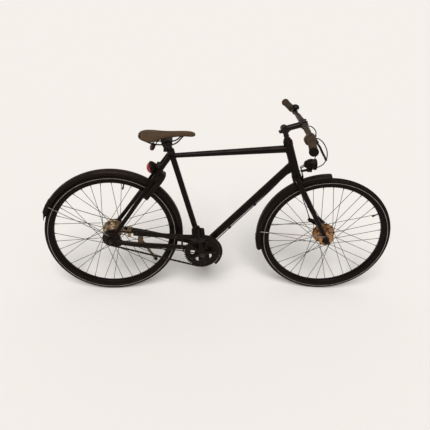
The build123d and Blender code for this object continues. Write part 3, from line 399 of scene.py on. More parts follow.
def tyre_shape():
    """Tyre about the side axis: a middle rib, zigzag grooves, side blocks, a reflective line on each side wall and a bead line by the rim."""
    half = [(0.0, 0), (2.6, 0), (2.9, 1), (4.3, 1), (4.6, 0), (6.6, 2), (8.6, 2), (9.9, 0), (10.3, 1), (11.5, 1), (11.8, 3), (14.0, 3), (16.6, 3), (17.6, 0), (19.0, 4), (20.0, 0), (21.0, 4),
            (22.0, 0), (25.5, 0), (28.9, 0), (29.1, 5), (31.3, 5), (31.5, 0), (34.0, 0), (36.4, 0), (36.8, 6), (37.6, 6), (38.0, 0), (40.5, 0), (43.5, 0)]
    line = [(-s, k) for s, k in reversed(half[1:])] + half
    n = BLOCKS * STEPS
    v, f, m = [], [], []
    for i in range(n):
        a, step, block = 2 * pi * i / n, i % STEPS, i // STEPS
        for s, kind in line:
            sg = 1 if s > 0 else -1
            depth, shift = 0.0, 0.0
            if kind == 1:
                depth = 1.2
                shift = sg * (0.5 if block % 2 else -0.5) * (1 if 1 <= step <= 4 else -1) * 0.6
            elif kind == 2:
                depth = 0.9 if step == (1 if sg > 0 else 4) else 0.0
            elif kind == 3:
                depth = 1.3 if step in ((0, 1) if sg > 0 else (3, 4)) else 0.0
            elif kind == 4:
                depth = 0.35
            elif kind == 5:
                depth = -0.10
            elif kind == 6:
                depth = -0.5
            t = (s + shift) / TYRE_R
            r = TYRE_R - depth
            rad = WHEEL_R - TYRE_R + r * cos(t)
            v.append((rad * cos(a), r * sin(t), rad * sin(a)))
    w = len(line)
    for i in range(n):
        a, b = i * w, ((i + 1) % n) * w
        for j in range(w - 1):
            f.append((a + j, a + j + 1, b + j + 1, b + j))
            m.append(1 if line[j][1] == 5 and line[j + 1][1] == 5 else 0)
    s = Shape()
    s.v, s.f, s.m = [Vector(p) for p in v], f, m
    return s


def spoke_ends(flanges):
    out = []
    n = SPOKES // 2
    for side, (fr, fy) in ((-1, flanges[0]), (1, flanges[1])):
        for k in range(n):
            lead = 1 if k % 2 else -1
            off = 2.2 if lead > 0 else -2.2
            shift = 0 if side < 0 else 360.0 / n / 2
            a_hub = 360.0 * k / n + shift
            a_rim = a_hub + lead * 360.0 / n * 3
            p = Vector((fr * cos(radians(a_hub)), fy + off * 1.6, fr * sin(radians(a_hub))))
            q = Vector(((RIM_IN - 0.3) * cos(radians(a_rim)), side * 1.6 + off * 0.55, (RIM_IN - 0.3) * sin(radians(a_rim))))
            out.append((p, q, fy, off))
    return out


def wheel_trim(centre, flanges, valve_angle):
    s = Shape()
    at = Matrix.Translation(centre)
    for p, q, fy, off in spoke_ends(flanges):
        d = (q - p).normalized()
        s.add(pipe([p - d * 0.2, p + d * 1.2, p + d * 4.0], [1.6, 1.5, 1.32], 8), 0, at)      # elbow
        head = Vector((p.x, fy - (off / abs(off)) * 2.1, p.z))
        s.add(turned([(0, -0.2), (2.4, 0), (2.4, 0.5), (1.4, 1.2), (0, 1.35)], head, (0, -off, 0), 10), 0, at)
        s.add(pipe([Vector((p.x, fy, p.z)) + Vector((0, -off, 0)) * 0.8, p], 1.45, 8), 0, at)
        s.add(pipe([q - d * 12.5, q - d * 11.8, q - d * 4.5, q - d * 4.3, q - d * 0.1], [1.7, 2.0, 2.05, 2.3, 2.4], 10), 1, at)   # nipple
        s.add(turned([(3.3, 0.0), (3.2, 0.5), (2.3, 0.7), (2.0, 0.1)], q + d * 0.15, -d, 12, True), 1, at)                         # eyelet
    a = radians(valve_angle)
    rim = Vector((cos(a), 0, sin(a)))
    s.add(turned([(3.0, 0), (3.0, 4), (4.2, 4.2), (4.2, 6.0), (3.0, 6.3), (3.0, 19), (4.6, 19.4), (4.7, 31.5), (4.0, 33.5), (1.6, 34), (0, 34)], rim * (RIM_IN + 1), -rim, 16), 2, at)
    return s


tyre_base = tyre_shape()
WHEELS = (
    ("rear", AX_R, ((44.8, -31.0), (45.0, 30.0)), 77.6),
    ("front", AX_F, ((36.5, -31.0), (55.5, 23.0)), 30.2),
)
for name, centre, flanges, valve in WHEELS:
    body = name + "_wheel"
    s = Shape()
    s.v, s.f, s.m = [p + centre for p in tyre_base.v], tyre_base.f, tyre_base.m
    piece(name + "_tyre_tread", s, [TYRE, STRIPE], body, smooth=30, replaces=(name + "_tyre",), merge=0.001)
    # rim: boxed section with rolled flanges and a wear groove
    rim = [(297.5, -7), (297.2, 0), (297.5, 7), (298.6, 9.6), (301.5, 11.7), (303.5, 12.3), (308, 12.5), (309.5, 12.1), (311, 12.5), (314.5, 12.6), (316.2, 12.7), (317.0, 12.2), (317.0, 11.2), (316.2, 10.8),
           (311, 10.9), (309.5, 8.5), (308.5, 0), (309.5, -8.5), (311, -10.9), (316.2, -10.8), (317.0, -11.2), (317.0, -12.2), (316.2, -12.7), (314.5, -12.6), (311, -12.5), (309.5, -12.1), (308, -12.5),
           (303.5, -12.3), (301.5, -11.7), (298.6, -9.6)]
    piece(name + "_rim_ring", turned(rim, centre, SIDE, 240, True), RIM, body, replaces=(name + "_rim",))
    piece(name + "_spoke_ends", wheel_trim(centre, flanges, valve), [STEEL, ZINC, RUBBER_BLACK], body)

# rear hub shell, its dust caps and the drum's rim
hub = Shape()
shell = [(7.2, -48.5), (9, -49), (21, -49), (22.6, -48.2), (23, -47), (23, -41), (24, -40.2), (29.5, -40), (30.7, -39.3), (31, -38), (31, -33.6), (32, -32.7), (44.8, -32.5), (45.8, -32), (46, -31),
         (45.8, -30), (44.8, -29.5), (42.5, -28), (41.4, -26.4), (40.6, -25), (39.6, -22), (39.4, -20.5), (41.0, -19.6), (41.0, -17.4), (39.6, -16.5)]
for i in range(7):
    h = -14 + 4.4 * i
    shell += [(40.0, h - 1.4), (40.9, h - 0.8), (40.9, h + 0.8), (40.0, h + 1.4)]
shell += [(39.6, 16.5), (41.0, 17.4), (41.0, 19.6), (39.8, 20.6), (40.4, 24.5), (41.8, 27), (43, 28.3),
          (47.8, 28.5), (48.8, 29.2), (49, 30), (48.6, 31.2), (47, 31.8), (34, 32.6), (27, 33.6), (26.2, 34.4), (26, 35), (26, 36.4), (25.2, 37), (8.5, 37), (7.2, 36.5)]
hub.add(turned(shell, AX_R, SIDE, 96, True), 0)
hub.add(turned([(8.0, -49.8), (19.5, -49.8), (20.5, -49.3), (20.5, -48.6), (8.0, -48.6)], AX_R, SIDE, 48, True), 1)
hub.add(turned([(8.0, 38.2), (22, 38.2), (23.6, 37.4), (23.6, 36.6), (8.0, 36.6)], AX_R, SIDE, 48, True), 1)
piece("rear_hub_shell", hub, [HUB_TAN, BLACK_METAL], "rear_wheel", replaces=("rear_hub",))
# front hub: dust caps, bolts on the disc between its windows
fh = Shape()
fh.add(turned([(7.4, -37.0), (15.5, -37.0), (16.5, -36.2), (16.5, -35.6), (7.4, -35.6)], AX_F, SIDE, 48, True), 1)
fh.add(turned([(7.4, 32.2), (18, 32.2), (19.2, 31.4), (19.2, 30.6), (7.4, 30.6)], AX_F, SIDE, 48, True), 1)
for y, rr in ((-25.2, 21.4), (16.0, 21.4)):
    fh.add(turned([(20.6, -1.2), (rr + 0.3, -0.7), (rr + 0.3, 0.7), (20.6, 1.2)], AX_F + SIDE * y, SIDE, 72, True), 1)
for k in range(10):
    fh.add(bolt(polar(AX_F, 53.0, 36 * k + 9, 20.6), -SIDE, 2.6), 0)
piece("front_hub_trim", fh, [ZINC, BLACK_METAL], "front_wheel")

# axle nuts
nuts = Shape()
for s_ in (-1, 1):
    nuts.add(nut((0, s_ * 69.1, AXLE_Z), (0, s_, 0), 17.0, 8.8, 5.15, 1.4))
piece("rear_axle_nut_pair", nuts, ZINC, "frame")
nuts = Shape()
for s_ in (-1, 1):
    nuts.add(nut((WHEELBASE, s_ * 63.1, AXLE_Z), (0, s_, 0), 15.0, 8.0, 4.65, 1.4))
piece("front_axle_nut_pair", nuts, ZINC, "steering")

# ---- chain, ring, sprocket -----------------------------------------------------
RING_Y, PITCH_RING, PITCH_COG, TEETH_RING, TEETH_COG = -45.0, 92.35, 42.35, 46, 21
back_run = AX_R - BB
BASE, WRAP = atan2(back_run.z, back_run.x), acos((PITCH_RING - PITCH_COG) / back_run.length)


def chain_path():
    """Points of the chain's middle line at equal steps: back along the lower run, up round the cog, forward along the upper run, down round the ring."""
    low, high = [Vector((cos(BASE + s * WRAP), 0, sin(BASE + s * WRAP))) for s in (1, -1)]
    p1, p2 = BB + low * PITCH_RING, AX_R + low * PITCH_COG
    p3, p4 = AX_R + high * PITCH_COG, BB + high * PITCH_RING
    run, round_cog, round_ring = (p2 - p1).length, PITCH_COG * 2 * WRAP, PITCH_RING * (2 * pi - 2 * WRAP)
    total = run * 2 + round_cog + round_ring
    count = int(round(total / 12.7 / 2)) * 2
    out = []
    for i in range(count):
        s = i * total / count
        if s < run:
            out.append(p1.lerp(p2, s / run))
        elif s < run + round_cog:
            t = BASE + WRAP - (s - run) / PITCH_COG
            out.append(AX_R + Vector((cos(t), 0, sin(t))) * PITCH_COG)
        elif s < 2 * run + round_cog:
            out.append(p3.lerp(p4, (s - run - round_cog) / run))
        else:
            t = BASE - WRAP - (s - 2 * run - round_cog) / PITCH_RING
            out.append(BB + Vector((cos(t), 0, sin(t))) * PITCH_RING)
    return out


def link_plate(p, q, y, thick, r=4.1, waist=3.0):
    d = q - p
    u = d.normalized()
    w = Vector((-u.z, 0, u.x))
    ring = []
    for c, a0 in ((q, -90), (p, 90)):
        for k in range(7):
            t = radians(a0 + 180 * k / 6)
            ring.append(c + u * (r * cos(t)) + w * (r * sin(t)))
        side = 1 if c is q else -1
        ring.append((p + q) / 2 + w * (waist * side))
    rings = [[v + SIDE * (y - thick / 2) for v in ring], [v + SIDE * (y + thick / 2) for v in ring]]
    return skin(rings)


ch = Shape()
path = [p + SIDE * RING_Y for p in chain_path()]
for i, p in enumerate(path):
    q = path[(i + 1) % len(path)]
    outer = i % 2
    for s_ in (-1, 1):
        ch.add(link_plate(p, q, s_ * (2.9 if outer else 1.85), 0.95), 0)
    ch.add(turned([(3.85, -1.3), (3.85, 1.3)], p, SIDE, 12), 0)
    ch.add(turned([(1.7, -3.45), (1.7, 3.45)], p, SIDE, 8), 1)
piece("chain_links", ch, [CHAIN, ZINC], "frame", smooth=35, replaces=("chain",))


def toothed(teeth, pitch_r):
    out = []
    for k in range(teeth):
        for part, r in ((0.0, pitch_r - 4.1), (0.16, pitch_r - 3.6), (0.29, pitch_r - 0.6), (0.38, pitch_r + 1.9), (0.46, pitch_r + 2.9), (0.54, pitch_r + 2.9), (0.62, pitch_r + 1.9), (0.71, pitch_r - 0.6), (0.84, pitch_r - 3.6)):
            a = 2 * pi * (k + part) / teeth
            out.append((r * cos(a), r * sin(a)))
    return out


def circle2d(r, n=48, c=(0, 0)):
    return [(c[0] + r * cos(2 * pi * k / n), c[1] + r * sin(2 * pi * k / n)) for k in range(n)]


def slot2d(mid, half_angle, middle_r, half_width, n=8):
    """A slot that follows a circle, with round ends."""
    out, a0, a1 = [], radians(mid - half_angle), radians(mid + half_angle)
    for k in range(n + 1):
        t = a0 + (a1 - a0) * k / n
        out.append(((middle_r + half_width) * cos(t), (middle_r + half_width) * sin(t)))
    c = (middle_r * cos(a1), middle_r * sin(a1))
    out += [(c[0] + half_width * cos(a1 + pi * k / 8), c[1] + half_width * sin(a1 + pi * k / 8)) for k in range(1, 8)]
    for k in range(n + 1):
        t = a1 + (a0 - a1) * k / n
        out.append(((middle_r - half_width) * cos(t), (middle_r - half_width) * sin(t)))
    c = (middle_r * cos(a0), middle_r * sin(a0))
    out += [(c[0] + half_width * cos(a0 + pi + pi * k / 8), c[1] + half_width * sin(a0 + pi + pi * k / 8)) for k in range(1, 8)]
    return out


# the plate plane's X, Y become X and Z, its thickness runs along Y
STAND_UP = Matrix(((1, 0, 0, 0), (0, 0, -1, 0), (0, 1, 0, 0), (0, 0, 0, 1)))
ring_at = Matrix.Translation(BB + SIDE * RING_Y) @ STAND_UP
cr = Shape()
cr.add(plate2d(toothed(TEETH_RING, PITCH_RING), [circle2d(13)] + [slot2d(36 + 72 * k, 6, 49.0, 11.0) for k in range(5)], 2.6, ring_at, 0.35), 0)
cr.add(turned([(84.2, -2.3), (85.6, -2.6), (86.2, -1.8), (86.2, -1.0), (83.0, -1.0)], BB + SIDE * RING_Y, SIDE, 120, True), 0)      # pressed rim on the outside
for k in range(5):
    a = 72 + 72 * k
    # spider arm from the crank's boss to its bolt
    p0, p1 = polar(BB, 14, a, -56), polar(BB, 68, a, -48.8)
    cr.add(pipe([p0, p0.lerp(p1, 0.45) + SIDE * -1.0, p0.lerp(p1, 0.8), p1], [11.5, 8.6, 7.4, 7.0], 16, flat=0.42, up=SIDE), 1)
    cr.add(bolt(polar(BB, 67, a, -50.6), -SIDE, 4.6, 2.2, 2.2), 2)
cr.add(turned([(12.2, -40), (19, -42), (21, -47), (21.5, -54), (20, -57.5), (12.2, -58)], BB, SIDE, 48, True), 1)
piece("chainring_toothed", cr, [RING, RING, ZINC], "crank", replaces=("chainring",))

cog_at = Matrix.Translation(AX_R + SIDE * RING_Y) @ STAND_UP
cg = Shape()
cg.add(plate2d(toothed(TEETH_COG, PITCH_COG), [circle2d(23.3)], 2.3, cog_at, 0.3), 0)
cg.add(turned([(23.2, -1.6), (27.5, -1.9), (28.5, -1.2), (23.2, -1.2)], AX_R + SIDE * (RING_Y - 0.6), SIDE, 48, True), 0)
piece("rear_cog", cg, CHAIN, "rear_wheel", replaces=("rear_sprocket",))

# ---- cranks and pedals ----------------------------------------------------------
CRANK_ANGLE, CRANK_LEN = 101.0, 165.0
cranks = Shape()
cranks.add(turned([(0, -60), (11.4, -60), (11.4, -37), (9, -36), (9, 36), (11.4, 37), (11.4, 60), (0, 60)], BB, SIDE, 32), 1)
PEDAL_AT = {}
for s_, sg in ((-1, 1), (1, -1)):
    along = Vector((sg * cos(radians(CRANK_ANGLE)), 0, sg * sin(radians(CRANK_ANGLE))))
    across = Vector((-along.z, 0, along.x))
    rings = []
    # distance along the arm, half width, half thickness, middle's side position
    for t, w, h, y in ((-17.2, 2.0, 3.0, 68.0), (-16.0, 8.0, 7.0, 68.0), (-11, 13.2, 8.6, 68.0), (0, 16.2, 9.2, 68.0), (10, 15.2, 8.6, 68.1), (24, 12.6, 7.2, 68.4), (60, 11.0, 6.6, 69.4), (110, 10.0, 6.3, 70.6),
                       (140, 10.2, 6.5, 71.3), (152, 11.6, 7.4, 71.6), (165, 12.6, 8.2, 71.7), (172, 11.0, 7.6, 71.7), (176.0, 7.0, 6.0, 71.7), (177.4, 2.0, 3.0, 71.7)):
        c = BB + along * t + SIDE * (s_ * y)
        ring = []
        for k in range(24):
            th = 2 * pi * k / 24
            cx, sx = cos(th), sin(th)
            ring.append(c + across * (w * (abs(cx) ** 0.55) * (1 if cx > 0 else -1)) + SIDE * (h * (abs(sx) ** 0.55) * (1 if sx > 0 else -1)))
        rings.append(ring)
    cranks.add(skin(rings), 0)
    cap = BB + SIDE * (s_ * 76.6)
    cranks.add(turned([(0, 0.2), (4.0, 0.2), (4.0, 1.8), (4.8, 2.2), (9.4, 1.6), (10.6, 0.6), (10.8, -1.5), (0, -1.5)], cap, (0, s_, 0), 36, False, hexed=(1, 2)), 1)
    q = BB + along * CRANK_LEN + SIDE * (s_ * 72)
    PEDAL_AT[s_] = q
    cranks.add(turned([(0, -10.0), (4.4, -10.0), (5.8, -9.4), (7.2, -9.2), (7.2, -8.2), (0, -8.2)], q + SIDE * (s_ * 0.6), (0, s_, 0), 32), 1)
piece("crank_pair", cranks, [RING, ZINC], "crank", replaces=("crank_arms",))

# bottom bracket cups
cups = Shape()
for s_ in (-1, 1):
    cups.add(turned([(12.5, 0.8), (19.4, 0.8), (20.2, 0.2), (20.2, -3.0), (12.5, -3.0)], BB + SIDE * (s_ * 37.2), (0, s_, 0), 48, True), 0)
    for k in range(8):
        cups.add(turned([(0, 0.1), (1.9, 0.1), (1.9, 1.0), (0, 1.0)], polar(BB, 16.6, 45 * k + 20, s_ * 37.4), (0, s_, 0), 12), 1)
piece("bottom_bracket_cups", cups, [BLACK_METAL, ZINC], "frame")


def pedal(name, q, s_, body):
    s = Shape()
    out = Vector((0, s_, 0))
    s.add(turned([(0, 8.5), (5.6, 8.5), (7.4, 9.0), (7.4, 13.2), (6.0, 13.8), (6.4, 15.5), (8.6, 17.5), (8.8, 40), (8.0, 60), (8.6, 80), (8.9, 104), (8.2, 107.4), (5.2, 108.4), (0, 108.6)], q, out, 28), 1)
    s.add(turned([(5.9, 9.6), (8.4, 9.9), (8.4, 12.4), (5.9, 12.7)], q, out, 36, True, hexed=(1, 2)), 2)
    for y, t in ((16.2, 2.8), (103.6, 3.0)):
        rings = []
        for dy, k in ((-t / 2, 0.985), (-t / 2 + 0.4, 1.0), (t / 2 - 0.4, 1.0), (t / 2, 0.985)):
            ring = []
            for j in range(32):
                th = 2 * pi * j / 32
                cx, sx = cos(th), sin(th)
                ring.append(q + out * (y + dy) + Vector((31 * k * (abs(cx) ** 0.42) * (1 if cx > 0 else -1), 0, 11.6 * k * (abs(sx) ** 0.42) * (1 if sx > 0 else -1))))
            rings.append(ring)
        s.add(skin(rings), 1)
    # two tread blocks of moulded rubber with cross ribs, above and below
    for xs in (-1, 1):
        n = 34
        rings = []
        for i in range(n + 1):
            y = 18.2 + (101.6 - 18.2) * i / n
            rib = 1.0 if (i % 4) in (1, 2) else 0.0
            ring = []
            for j in range(28):
                th = 2 * pi * j / 28
                cx, sx = cos(th), sin(th)
                w, h = 9.9 + 0.4 * rib, 11.4 + 1.6 * rib
                if i in (0, n):
                    w, h = w - 0.6, h - 0.8
                ring.append(q + out * y + Vector((xs * 21.3 + w * (abs(cx) ** 0.4) * (1 if cx > 0 else -1), 0, h * (abs(sx) ** 0.4) * (1 if sx > 0 else -1))))
            rings.append(ring)
        s.add(skin(rings), 0)
        for y in (14.7, 105.2):
            s.add(bolt(q + out * y + Vector((xs * 21.3, 0, 0)), out * (-1 if y < 50 else 1), 3.2, 1.8), 2)
    return piece(name + "_platform", s, [RUBBER_BLACK, BLACK_METAL, ZINC], body, replaces=(name,))


pedal("right_pedal", PEDAL_AT[-1], -1, "right_pedal_body")
pedal("left_pedal", PEDAL_AT[1], 1, "left_pedal_body")

# ---- mudguards -------------------------------------------------------------------
def guard_section():
    """(radius, side) round the pressed strip: crowned top, deep sides, rolled edges."""
    top, low = [], []
    n = 28
    for k in range(n + 1):
        t = pi * k / n
        c, q = cos(t), sin(t)
        y = -24.4 * (abs(c) ** 0.72) * (1 if c > 0 else -1)
        r = 346.0 + 22.0 * q ** 0.86
        top.append((r, y))
        low.append((346.0 + 20.4 * q ** 0.86, y * 0.938))
    roll = [(345.0, 24.9), (344.2, 24.5), (344.1, 23.6), (344.8, 22.8)]
    return top + roll + low[::-1][1:-1] + [(r, -y) for r, y in reversed(roll)]


def mudguard_shape(centre, a0, a1, steps):
    sec = guard_section()
    rings = []
    for k in range(steps + 1):
        a = radians(a0 + (a1 - a0) * k / steps)
        # the ends are drawn in a little at their corners
        edge = min(k, steps - k)
        pull = {0: 0.86, 1: 0.955, 2: 0.985}.get(edge, 1.0)
        rings.append([centre + Vector((r * cos(a), y * pull, r * sin(a))) for r, y in sec])
    return skin(rings)


REAR_GUARD, FRONT_GUARD = (0.0, 160.0), (93.5, 196.0)
piece("rear_mudguard_shell", mudguard_shape(AX_R, *REAR_GUARD, 190), PLASTIC, "frame", smooth=50, replaces=("rear_mudguard",))
piece("front_mudguard_shell", mudguard_shape(AX_F, *FRONT_GUARD, 120), PLASTIC, "steering", smooth=50, replaces=("front_mudguard",))


def flap(centre, path, body, name, scale_end=0.94):
    """A rubber flap sleeved over the guard's lower end. path gives, for each step, the crown's point from the wheel's centre, and the way outwards."""
    sec = [(-20.0, -24.9), (-13.0, -24.6), (-6.0, -21.4), (-1.5, -13), (0.6, 0), (-1.5, 13), (-6.0, 21.4), (-13.0, 24.6), (-20.0, 24.9), (-20.0, 23.0), (-14, 22.6), (-8.4, 19), (-4.2, 11), (-2.4, 0), (-4.2, -11), (-8.4, -19), (-14, -22.6), (-20.0, -23.0)]
    rings = []
    for i, (p, out, flat, wide) in enumerate(path):
        rings.append([centre + Vector(p) + Vector(out) * (r * flat) + SIDE * (y * wide) for r, y in sec])
    s = Shape().add(skin(rings), 0)
    for k in (1, 3):
        p, out, flat, wide = path[k]
        for y in (-8, 8):
            s.add(bolt(centre + Vector(p) + Vector(out) * (0.4 - 0.5 * flat) + SIDE * y, Vector(out), 3.2, 1.6), 1)
    return piece(name, s, [RUBBER_BLACK, ZINC], body, smooth=45)


def round_point(angle, r):
    a = radians(angle)
    return (r * cos(a), 0, r * sin(a)), (cos(a), 0, sin(a))


rear_path = []
for k in range(7):
    p_, o_ = round_point(147.0 + 12.5 * k / 6, 369.2)
    rear_path.append((p_, o_, 1.0, 1.0))
for z_, f_ in ((128, 0.8), (118, 0.55), (108, 0.42), (96, 0.34), (88, 0.30), (82.5, 0.28)):
    rear_path.append(((-342.8 - 0.4 * (z_ - 82) / 46, 0, z_ + 3.5), (-0.99, 0, 0.10), f_, 0.95 if z_ > 84 else 0.88))
flap(AX_R, rear_path, "frame", "rear_mud_flap")
front_path = []
for k in range(9):
    p_, o_ = round_point(182.0 + 14.4 * k / 8, 369.4)
    front_path.append((p_, o_, 1.0 if k < 8 else 0.9, 1.01 if k < 8 else 0.9))
flap(AX_F, front_path, "steering", "front_mud_flap")

# clips and bolts that hold the stays on the guards
clips = {"frame": Shape(), "steering": Shape()}
for body, centre, ang, yy in (("frame", AX_R, 152.0, 25.6), ("steering", AX_F, 177.0, 25.6)):
    for s_ in (-1, 1):
        a = radians(ang)
        rad, tan_ = Vector((cos(a), 0, sin(a))), Vector((-sin(a), 0, cos(a)))
        c = centre + rad * 352.5 + SIDE * (s_ * 25.2)
        rings = []
        for dy, k in ((-1.6, 0.9), (-1.0, 1.0), (1.6, 1.0), (2.4, 0.85)):
            rings.append([c + SIDE * (s_ * dy) + rad * (k * 6.4 * cos(2 * pi * j / 20)) + tan_ * (k * 5.0 * sin(2 * pi * j / 20)) for j in range(20)])
        clips[body].add(skin(rings), 0)
        clips[body].add(bolt(c + SIDE * (s_ * 2.4), SIDE * s_, 3.4), 1)
for s_ in (-1, 1):
    clips["frame"].add(bolt((-11.0, s_ * 76.0, 383.0), (0, s_, 0), 4.3), 1)
    clips["steering"].add(bolt((1107.5, s_ * 76.0, 389.0), (0, s_, 0), 4.3), 1)
# bracket under the fork crown that carries the front guard
clips["steering"].add(pipe(smooth_line([on_head(676, 24), on_head(668, 27), on_head(661, 25.5), on_head(657, 14)], 4), 7.5, 12, flat=0.18, up=HEAD_FWD), 0)
clips["steering"].add(bolt(on_head(676, 26.5), HEAD_FWD, 5.2), 1)
piece("rear_guard_clips", clips["frame"], [PLASTIC, ZINC], "frame")
piece("front_guard_clips", clips["steering"], [PLASTIC, ZINC], "steering")

# ---- saddle ------------------------------------------------------------------------
# x from the rear, half width, height of the top's middle, drop of the side below it
SADDLE = ((136.4, 8, 903.0, 5), (138.0, 21, 905.0, 8.5), (142, 35, 907.4, 11.5), (150, 50, 909.8, 14.5), (164, 64, 910.6, 17), (180, 72, 909.8, 19.8), (194, 75, 909, 22), (209, 71.5, 909.3, 20), (225, 62, 910.2, 16.5),
          (241, 52, 912.0, 14.5), (260, 42, 914.6, 14.8), (280, 34, 917.4, 16), (300, 28.4, 919.8, 16.8), (320, 24.8, 921.8, 17.2), (340, 22.4, 923.3, 17.4), (360, 20.8, 924.1, 18.4), (378, 19, 924.0, 19.6), (392, 15.6, 922.9, 19.4),
          (401, 10.8, 920.2, 16.5), (406.2, 5.5, 917.0, 11.5), (408.3, 1.6, 914.5, 6))


def saddle_rings():
    rings = []
    for x, w, top, drop in SADDLE:
        ring = []
        n = 34
        for k in range(n):
            t = -1 + 2 * k / (n - 1)
            a = abs(t)
            if a < 0.74:                    # the seat: crowned, with a shallow hollow along the middle
                u = a / 0.74
                y = w * 0.95 * u
                z = top - 0.26 * drop * u ** 2.4
                if 150 < x < 320:
                    z -= 1.7 * max(0.0, 1 - (u / 0.36) ** 2) * sin(pi * (x - 150) / 170)
            else:                           # the side turned down, drawn in at its lower edge
                u = (a - 0.74) / 0.26
                y = w * (0.95 + 0.05 * sin(pi * min(1.0, u * 1.15)))
                z = top - drop * (0.26 + 0.74 * u ** 1.15)
            ring.append(Vector((x, y * (1 if t > 0 else -1), z)))
        # underneath, the hollow shell
        for k in range(1, 9):
            t = 1 - 2 * k / 9
            ring.append(Vector((x, w * 0.91 * t, top - drop + 0.42 * drop * (1 - t * t))))
        rings.append(ring)
    return rings


pad = piece("saddle_pad", skin(saddle_rings()), LEATHER, "frame", smooth=180, replaces=("saddle",), subdivide=1)

trim = Shape()
# stitched hem along the lower edge
edge = [Vector((x, -w * 0.955, top - drop + 0.5)) for x, w, top, drop in SADDLE[1:-1]]
edge = [Vector((p.x, -p.y, p.z)) for p in reversed(edge)] + [Vector((135.9, 0, 897.8))] + edge + [Vector((408.5, 0, 909.0))]
trim.add(pipe(smooth_line(edge + [edge[0]], 5)[:-1], 1.15, 8, loop=True), 0)
# plastic base under the pad, and the two clamps that take the rails
rings = []
for x, w, top, drop in SADDLE[3:-3]:
    z0 = top - drop + 1.5
    w2 = max(w * 0.88 - 1.5, 3)
    rings.append([Vector((x, w2 * cos(th), z0 + (1.5 if sin(th) > 0 else -3.4) * abs(sin(th)) ** 0.7)) for th in [2 * pi * k / 28 for k in range(28)]])
trim.add(skin(rings), 1)
for s_ in (-1, 1):
    trim.add(pipe([(149, s_ * 24, 900), (158, s_ * 24, 896), (168, s_ * 24, 888)], [6.5, 7.2, 5.2], 14), 1)
trim.add(pipe([(344, 0, 901), (354, 0, 907), (364, 0, 909)], [9, 12, 10], 16, flat=0.5), 1)
# rivets at the rear of the cover
for y, x, z in ((-33.0, 144.0, 904.6), (33.0, 144.0, 904.6), (-12.0, 139.4, 904.9), (12.0, 139.4, 904.9)):
    n_ = Vector((-0.62, y * 0.006, 0.78)).normalized()
    trim.add(turned([(0, 2.2), (2.6, 1.9), (4.8, 0.9), (5.2, -0.6), (0, -0.8)], (x, y, z), n_, 20), 1)
    trim.add(turned([(5.0, 0.5), (6.0, 0.3), (6.2, -0.6), (5.0, -0.6)], (x, y, z), n_, 20, True), 0)
piece("saddle_trim", trim, [RUBBER_BLACK, SADDLE_BASE, ZINC], "frame", smooth=50)

# ---- seat post head, collar ------------------------------------------------------------
seat_dir = (Vector((291, 0, 826)) - BB).normalized()


def on_seat(z):
    return BB + seat_dir * ((z - BB.z) / seat_dir.z)


sp = Shape()
cc = on_seat(858) + Vector((-1, 0, 4))
for s_ in (-1, 1):
    sp.add(turned([(0, 1.5), (3.4, 1.5), (3.4, 3.4), (4.2, 4.0), (8.8, 3.0), (9.6, 1.2), (11.8, 0.8), (12.6, 0), (12.6, -2), (0, -2)], cc + SIDE * (s_ * 29), (0, s_, 0), 36, False, hexed=(1, 2)), 0)
    for x in (-15, 15):
        sp.add(pipe([cc + Vector((x - 5, s_ * 23, 3)), cc + Vector((x + 5, s_ * 23, 3))], 6.2, 18), 0)
    sp.add(bolt((264, s_ * 8.5, 829), (0, s_, 0), 4.6, 3.4), 1)
for z in (812.5, 824.5):
    sp.add(turned([(18.1, -1.0), (18.9, -0.5), (18.9, 0.5), (18.1, 1.0)], on_seat(z), seat_dir, 48, True), 0)
piece("seat_post_fittings", sp, [BLACK_METAL, ZINC], "frame")

# reflector hung under the saddle's rear
rf = Shape()
face_dir = Vector((-0.80, -0.40, 0.45)).normalized()
rc = Vector((203, -8, 846))
rf.add(turned([(0, 4.6), (9.4, 4.0), (15.8, 2.6), (18.2, 0.6), (18.5, -0.6)], rc, face_dir, 48), 0)
rf.add(turned([(17.8, 1.4), (19.2, 1.0), (19.6, -1.0), (18.6, -6.0), (12, -9.5), (6, -10.5), (0, -10.6)], rc, face_dir, 48), 1)
rf.add(pipe(smooth_line([rc - face_dir * 8, rc - face_dir * 12 + Vector((3, 0, 6)), Vector((224, -6, 866)), Vector((229, -8, 872))], 5), 4.2, 14, flat=0.6), 1)
piece("saddle_reflector", rf, [DARK_RED, PLASTIC], "frame")

# ---- rear light ---------------------------------------------------------------------------
LIGHT_C, LIGHT_DIR = Vector((192, 0, 729)), Vector((0.97, 0, 0.24)).normalized()
rl = Shape()
lens = [(0, -15.0), (7, -14.5), (13, -12.9), (18.6, -10.0), (23.4, -6.2), (27.0, -1.6), (29.0, 2.6), (29.8, 5.4), (0, 5.0)]
rl.add(turned(lens, LIGHT_C, LIGHT_DIR, 72), 0)
for rr, hh in ((8.5, -14.2), (14.6, -12.3), (20.2, -9.0), (25.4, -3.9)):
    rl.add(turned([(rr - 0.8, hh - 0.2), (rr + 0.2, hh - 0.5), (rr + 0.8, hh + 0.75)], LIGHT_C, LIGHT_DIR, 72, True), 0)
rl.add(turned([(29.0, 3.4), (30.6, 3.2), (32.3, 5.0), (32.8, 8.0), (32.6, 12.5), (31.6, 14.0), (30, 13), (30, 6)], LIGHT_C, LIGHT_DIR, 72, True), 1)
for k in range(3):
    a = 2 * pi * k / 3 + 0.4
    x_, y_, d_ = basis(LIGHT_DIR)
    rl.add(turned([(0, 0.4), (1.6, 0.4), (2.6, 0), (2.6, -2), (0, -2)], LIGHT_C + LIGHT_DIR * 3.0 + (x_ * cos(a) + y_ * sin(a)) * 31.0, -LIGHT_DIR, 12), 1)
rl.add(bolt(Vector((236, -27, 744)), (0, -1, 0), 4.6), 2)
rl.add(bolt(Vector((236, 27, 744)), (0, 1, 0), 4.6), 2)
piece("rear_light_lens", rl, [RED_LENS, PLASTIC, ZINC], "frame")

